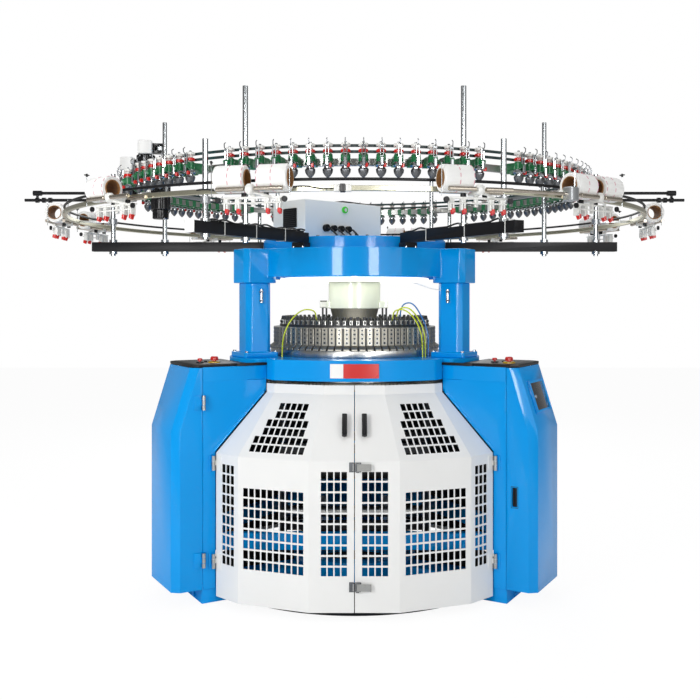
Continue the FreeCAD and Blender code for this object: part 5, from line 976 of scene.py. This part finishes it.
# %% [markdown]
# The dial hangs under a pale tube. Its neck is turned steel, and two cream brackets with black rods
# stop it from turning.

# %% Dial housing
housing = lathe([(0.0605, 1.400), (0.132, 1.400), (0.140, 1.403), (0.140, 1.545), (0.165, 1.545),
                 (0.165, 1.5635), (0.0605, 1.5635), (0.0605, 1.400)], 72)
brackets = [bar(reach(side, 0.128, 0.180), (-0.045, 0.010), (1.404, 1.440), 0.003, 0.002) for side in (-1, 1)]
piece("housing_tube", [housing, *brackets], cream_enamel, replaces=("dial_housing",))
neck = lathe([(0.0405, 1.3215), (0.116, 1.3215), (0.118, 1.324), (0.118, 1.352), (0.128, 1.388),
              (0.130, 1.3995), (0.0405, 1.3995), (0.0405, 1.3215)], 72)
piece("housing_neck", [neck], cam_steel, replaces=("dial_housing",))
rod = turned_body(0.005, 1.3215, 1.406, 0.001, 10)
stop_rods = [moved(rod, (x, -0.012, 0)) for x in (-0.172, -0.152, 0.152, 0.172)]
stop_rods.append(bar((-0.186, -0.148), (-0.047, 0.004), (1.438, 1.444), 0.002, 0.001))
piece("stop_rods", stop_rods, black_iron)
piece("stop_clamp", [bar((-0.187, -0.150), (-0.048, 0.006), (1.406, 1.4385), 0.003, 0.002)], white_nylon)

# %% [markdown]
# A small chrome fitting stands beside each front column, and thin grey wires hang from the ring lamp.

# %% Column fittings and lamp wires
COLUMN_R, COLUMN_HALF = 0.588, 0.0675
fittings = []
for azimuth, front in FRONT_LEGS:
    place = (COLUMN_R - 0.004, front * (COLUMN_HALF + 0.006), 0)
    fittings.append(moved(turned_body(0.0075, 1.432, 1.503, 0.002, 12), place, azimuth))
    fittings += [moved(turned_body(0.0105, z, z + 0.010, 0.002, 6), place, azimuth) for z in (1.440, 1.484)]
piece("column_fittings", fittings, chrome)
lamp_paths = ([(-0.372, -0.372, 1.562), (-0.300, -0.360, 1.546), (-0.217, -0.330, 1.538),
               (-0.190, -0.300, 1.550)],
              [(0.260, -0.290, 1.550), (0.300, -0.330, 1.536), (0.377, -0.360, 1.508),
               (0.435, -0.330, 1.497)])
piece("lamp_wires", [tube(path, 0.002, 6) for path in lamp_paths], grey_powder)

# %% [markdown]
# ## Fittings on doors and covers
# Handles, latch catches, hinge knuckles and the recessed latch are small black or bright parts on the
# folded sheet. They ride with the door or cover that carries them.

# %% Door handles and catches
DOOR_LOW_Y, DOOR_HIGH_Y, HANDLE_RISE = -0.825, -0.588, 0.138
PLATE_Y, HOOK_Y, STAPLE_Y = (-0.8283, -0.8247), (-0.8373, -0.8277), (-0.8403, -0.8277)
slope_height = SLOPE_HIGH - SLOPE_LOW
door_tilt = math.degrees(math.atan2(DOOR_HIGH_Y - DOOR_LOW_Y, slope_height))
handle_y = DOOR_LOW_Y + (DOOR_HIGH_Y - DOOR_LOW_Y) * HANDLE_RISE / slope_height


def catch(side, z):
    """The catch of one latch at a height: a hook plate on the left door, and on the right door a plate
    with two staples. Both have two screws."""
    tall = (z - 0.0223, z + 0.0223)
    if side < 0:
        forms = [bar((-0.0243, -0.0027), PLATE_Y, tall, 0.001, 0.0005),
                 bar((-0.0083, -0.0027), HOOK_Y, (z - 0.0143, z + 0.0143), 0.002, 0.001)]
        screw_x = -0.02067
    else:
        forms = [bar((0.0027, 0.0303), PLATE_Y, tall, 0.001, 0.0005)]
        forms += [bar((0.0057, 0.0223), STAPLE_Y, (z + e - 0.0023, z + e + 0.0023), 0.002, 0.0006)
                  for e in (-0.020, 0.020)]
        screw_x = 0.0265
    return forms + [moved(turned_body(0.0028, 0, 0.0018, 0.0005, 10), (screw_x, -0.8282, z + e), roll=90)
                    for e in (-0.014, 0.014)]


for side, body in ((1, "front_door_right"), (-1, "front_door_left")):
    door = body.removeprefix("front_door_")
    grip = [bar((-0.0120, 0.0120), (-0.0278, -0.0120), (-0.0605, 0.0605), 0.0035, 0.003)]
    grip += [moved(turned_body(0.0068, 0, 0.018, 0.001, 12), (0, 0, z), roll=90) for z in (-0.047, 0.047)]
    place = np.array([side * 0.046, handle_y, SLOPE_LOW + HANDLE_RISE])
    tilted = [moved(form, roll=-door_tilt) for form in grip]
    piece("handle_" + door, [(points + place, faces) for points, faces in tilted], gloss_black,
          body=body)
    piece("catches_" + door, catch(side, 0.693) + catch(side, 0.152), basket_wire, body=body)

# %% [markdown]
# A hinge is three knuckles on one pin. The middle one is part of the door or cover and turns with it, and
# the two outer ones stay on the leg, whose hinge plates are painted over with it.

# %% Hinges and the recessed latches
COVER_AXIS, DOOR_AXIS = (0.933, 0.1886), (0.884, -0.1886)
COVER_HINGES, DOOR_HINGES = (0.961, 0.215), (0.672, 0.205)
LATCH_FACE, LATCH_X, LATCH_Z, LATCH_RIM = (-0.1763, -0.1743), (0.9565, 0.9925), (0.4640, 0.5670), 0.0025


def knuckle(low, high, axis, azimuth):
    """One knuckle between two heights, on an axis given as (radius, distance beside the leg's arm)."""
    return moved(turned_body(0.0093, low, high, 0.0006, 16), (*axis, 0), azimuth)


def middle_knuckles(heights, axis, azimuth):
    """The middle knuckle of each hinge on one axis."""
    return [knuckle(middle - 0.0108, middle + 0.0108, axis, azimuth) for middle in heights]


latch_bars = [(LATCH_X[0], LATCH_X[0] + LATCH_RIM, *LATCH_Z), (LATCH_X[1] - LATCH_RIM, LATCH_X[1], *LATCH_Z),
              (*LATCH_X, LATCH_Z[0], LATCH_Z[0] + LATCH_RIM), (*LATCH_X, LATCH_Z[1] - LATCH_RIM, LATCH_Z[1])]
latch_forms = [bar((x0, x1), LATCH_FACE, (z0, z1), 0.0006, 0.0004) for x0, x1, z0, z1 in latch_bars]
latch_forms += [bar((0.9624, 0.9866), (-0.1682, -0.1672), (0.4700, 0.5610), 0.0004, 0.0003),
                bar((0.9660, 0.9720), (-0.1745, -0.1680), (0.4800, 0.5500), 0.002, 0.001)]
for body, azimuth in (("cabinet_cover_left", 210.0), ("cabinet_cover_right", 330.0)):
    cover = body.removeprefix("cabinet_cover_")
    piece("hinge_leaves_" + cover, middle_knuckles(COVER_HINGES, COVER_AXIS, azimuth), ground_steel,
          body=body)
    piece("latch_" + cover, [moved(form, turn=azimuth) for form in latch_forms], black_powder,
          body=body)

knuckles = []
for body, azimuth, sign in (("front_door_right", 330.0, 1), ("front_door_left", 210.0, -1)):
    door_axis = (DOOR_AXIS[0], sign * DOOR_AXIS[1])
    piece("door_barrels_" + body.removeprefix("front_door_"),
          middle_knuckles(DOOR_HINGES, door_axis, azimuth), ground_steel, body=body)
    knuckles += [knuckle(low, low + 0.0233, axis, azimuth)
                 for axis, heights in ((COVER_AXIS, COVER_HINGES), (door_axis, DOOR_HINGES))
                 for middle in heights for low in (middle - 0.0350, middle + 0.0117)]
piece("hinge_knuckles", knuckles, ground_steel)
nodes["hinge_pins"].data.materials[0] = blue_enamel

# %% [markdown]
# ## Sign, bolts and buttons
# The sign on the bed is bare: a white field on the left and a red one on the right, both on the bed's
# curve. The stop buttons stand on yellow collars.

# %% Sign
SIGN_OUT, SIGN_THICK = 0.9042, 0.0014
for name, low_x, high_x, material, slot in (("sign_white", -0.1165, -0.0535, white_powder, "white_powder"),
                                            ("sign_red", -0.0530, 0.1165, red_abs, "red_plastic")):
    low_turn, high_turn = (270 + math.degrees(math.asin(x / SIGN_OUT)) for x in (low_x, high_x))
    plate = arc_plate(SIGN_OUT - SIGN_THICK, SIGN_OUT, 1.0755, 1.1435, low_turn, high_turn)
    piece(name, [moved(plate, (0, BED_CURVE - BED_FACE, 0))], material)

# %% Buttons
LEG_TOP, CAP_RISE = 1.142, 0.0113
STOP, START = 1.0, 0.62     # a start button is a stop button's cap at this share of its size
collar = lathe([(0.0096, 0), (0.0308, 0), (0.0300, 0.0042), (0.0270, 0.0062), (0.0096, 0.0062), (0.0096, 0)],
               28)
collars = []
for body, radius, s, azimuth, size in (
        ("stop_button_left", 0.832, 0.065, 210.0, STOP), ("start_button_left", 0.906, 0.065, 210.0, START),
        ("stop_button_right", 0.906, -0.065, 330.0, STOP),
        ("start_button_right", 0.832, -0.065, 330.0, START)):
    if size == STOP:
        collars.append(moved(collar, (radius, s, LEG_TOP), azimuth))
    head = lathe(size * np.array([(0, 0), (0.0150, 0), (0.0192, 0.004), (0.0198, 0.010), (0.0165, 0.0165),
                                  (0.0090, 0.0188), (0, 0.0194)]), 28)
    piece(body + "_cap", [moved(head, (radius, s, LEG_TOP + CAP_RISE), azimuth)], red_abs,
          body=body)
piece("button_collars", collars, yellow_abs)

# %% Bolts
bolt = lathe([(0, -0.002), (0.0085, -0.002), (0.0085, 0.006), (0.0070, 0.0075), (0, 0.0075)], 12)
socket = lathe([(0, 0), (0.0085, 0), (0.0075, 0.005), (0, 0.005)], 6)
bolts = [moved(bolt, (COLUMN_R + x, y, BED_TOP + 0.026), azimuth)
         for azimuth in LEGS for x in (-0.078, 0.078) for y in (-0.078, 0.078)]
bolts += [moved(bolt, (0.549, s, 1.706), azimuth) for azimuth in POLES for s in (-0.027, 0.027)]
bolts += [moved(socket, (0.475, 0, 1.764), azimuth) for azimuth in np.arange(24) * 15.0 + 7.5]
piece("bolts", bolts, chrome)

# %% [markdown]
# ## Inside
# Black sheets line the rear guards as painted shade, so the inside shows dark through the grilles. They
# follow the guards' folds a centimetre inside the sheet. A black disc under the frame's arms is painted
# shade where the floor would show through.

# %% Painted shade screens
guard_low = np.array([(-0.5800, -0.6050), (-0.5440, -0.6910), (-0.2060, -0.8120), (0.2060, -0.8120),
                      (0.5440, -0.6910), (0.5800, -0.6050)])
guard_high = np.array([(-0.3900, -0.4750), (-0.3700, -0.5060), (-0.1450, -0.5760), (0.1450, -0.5760),
                       (0.3700, -0.5060), (0.3900, -0.4750)])
THINNER = np.array([0.996, 0.996, 1.0])
folds = len(guard_low)
outer = np.stack([np.column_stack([line, np.full(folds, z)])
                  for line, z in ((guard_low, 0.060), (guard_low, 0.716), (guard_high, 0.990))])
shade_sheet_points = np.concatenate([outer, (outer * THINNER)[::-1], outer[:1]])
index = np.arange(len(shade_sheet_points) * folds).reshape(-1, folds)
shade_sheet_faces = np.stack([index[:-1, :-1], index[:-1, 1:], index[1:, 1:], index[1:, :-1]], axis=-1)
shade_sheet = (shade_sheet_points.reshape(-1, 3), shade_sheet_faces.reshape(-1, 4))
# painted shade: black sheets a centimetre inside the rear guards darken the inside
piece("painted_shade_screens", [moved(shade_sheet, turn=turn) for turn in (120.0, -120.0)], painted_shade_black)

# %% Painted floor shade
floor_shade_disc = lathe([(0, 0.0085), (0.790, 0.0085), (0.792, 0.0100), (0.790, 0.0125), (0, 0.0125)], 96)
# painted shade: a black disc on the floor under the frame, dark where the floor would show through the
# grilles
piece("painted_floor_shade", [floor_shade_disc], painted_shade_black)

# %% [markdown]
# ## Control window
# The window's flap is a smoked pane in a blue frame with a bright knob. It is drawn upright, with its
# face along X, and then tipped onto the cover's slope.

# %% Window
SLOPE_RUN, SLOPE_RISE = 0.095, 0.298
cover_tilt = math.degrees(math.atan2(SLOPE_RUN, SLOPE_RISE))
WINDOW_PLACE = (1.080 - SLOPE_RUN * 0.155 / SLOPE_RISE, 0.0, 0.983)
LOW_X, HIGH_X = 0.0083, 0.0123


def on_window(form):
    """A form drawn about the window's middle, X outwards and Z up, set on the right cover's slope."""
    return moved(form, WINDOW_PLACE, 330.0, tip=-cover_tilt)


rim_bars = [bar((LOW_X, HIGH_X), reach(side, 0.084, 0.096), (-0.077, 0.077), 0.001, 0.0008)
            for side in (-1, 1)]
rim_bars += [bar((LOW_X, HIGH_X), (-0.085, 0.085), reach(side, 0.066, 0.077), 0.001, 0.0008)
             for side in (-1, 1)]
rim_bars.append(moved(turned_body(0.004, -0.077, 0.077, 0.0005, 12), (LOW_X + 0.004, 0.097, 0)))
piece("window_frame", [on_window(form) for form in rim_bars], blue_enamel, body="window_cover",
      replaces=("window_cover",))
pane = bar((LOW_X + 0.0006, HIGH_X - 0.0008), (-0.0845, 0.0845), (-0.0665, 0.0665), 0.001)
piece("window_pane", [on_window(pane)], dark_acrylic, body="window_cover")
knob = moved(turned_body(0.009, HIGH_X - 0.0005, HIGH_X + 0.010, 0.0015, 18), (0, -0.084, 0), tip=90)
piece("window_knob", [on_window(knob)], chrome, body="window_cover")

# %% [markdown]
# ## Studio
# The photograph shows the machine cut out on white. The camera sees a white world and a floor that is
# mostly its own light. Broad lamps light the paint, and two tall strips beside the camera, which only
# glossy surfaces see, draw the upright highlights on the round enamel.

# %% Floor
FLOOR = 14.0
floor_mesh = bpy.data.meshes.new("floor")
floor_mesh.from_pydata([(-FLOOR, -FLOOR, 0), (FLOOR, -FLOOR, 0), (FLOOR, FLOOR, 0), (-FLOOR, FLOOR, 0)], [],
                       [(0, 1, 2, 3)])
floor = bpy.data.objects.new("floor", floor_mesh)
bpy.context.collection.objects.link(floor)
floor_paint, tree, shader, _ = blank("pale_floor")
shader.inputs["Base Color"].default_value = linear("#FAFAFA")
shader.inputs["Roughness"].default_value = 0.9
ray = add(tree, "ShaderNodeLightPath")
share = add(tree, "ShaderNodeMath", {0: ray.outputs["Is Camera Ray"], 1: 0.9}, operation="MULTIPLY")
glow = add(tree, "ShaderNodeEmission", {"Color": linear("#FFFFFF"), "Strength": 1.03})
mixed = add(tree, "ShaderNodeMixShader", {0: share.outputs["Value"], 1: shader.outputs["BSDF"],
                                          2: glow.outputs[0]})
tree.links.new(mixed.outputs[0], tree.nodes["Material Output"].inputs["Surface"])
floor_mesh.materials.append(floor_paint)

# %% World
world = bpy.data.worlds.new("studio")
bpy.context.scene.world = world
world.use_nodes = True
tree = world.node_tree
tree.nodes.clear()
ray = add(tree, "ShaderNodeLightPath")
soft, dim, white = (add(tree, "ShaderNodeBackground", {"Color": linear("#FFFFFF"), "Strength": strength})
                    for strength in (0.50, 0.30, 1.0))
lit = add(tree, "ShaderNodeMixShader", {0: ray.outputs["Is Glossy Ray"], 1: soft.outputs[0],
                                        2: dim.outputs[0]})
both = add(tree, "ShaderNodeMixShader", {0: ray.outputs["Is Camera Ray"], 1: lit.outputs[0],
                                         2: white.outputs[0]})
add(tree, "ShaderNodeOutputWorld", {"Surface": both.outputs[0]})

# %% Lamps
AIM = np.array([0.0, 0.0, 1.2])
for name, place, size, power in (
        ("key", (-2.9, -4.45, 2.15), (1.0, 1.4), 80.0), ("fill", (3.4, -4.6, 2.6), (2.6, 2.6), 40.0),
        ("back", (0.0, 4.6, 3.6), (3.2, 3.2), 80.0), ("top", (0.0, -0.4, 5.2), (3.0, 3.0), 42.0),
        ("strip_left", (-1.55, -5.0, 2.0), (0.9, 1.9), 130.0),
        ("strip_right", (1.75, -5.0, 2.0), (0.9, 1.9), 130.0),
        ("crown", (-2.4, -2.6, 2.2), (0.5, 0.5), 8.0)):
    lamp = bpy.data.objects.new(name, bpy.data.lights.new(name, "AREA"))
    lamp.data.shape = "RECTANGLE"
    lamp.data.size, lamp.data.size_y = size
    lamp.data.energy = power
    lamp.location = place
    aim = AIM - np.array(place)
    lamp.rotation_euler = (math.atan2(math.hypot(aim[0], aim[1]), -aim[2]), 0.0, math.atan2(-aim[0], aim[1]))
    lamp.visible_diffuse = not name.startswith("strip")     # the strips only draw highlights
    lamp.visible_glossy = name not in ("key", "crown")     # and these two only light the paint
    bpy.context.collection.objects.link(lamp)
bpy.context.scene.view_settings.view_transform = "Standard"
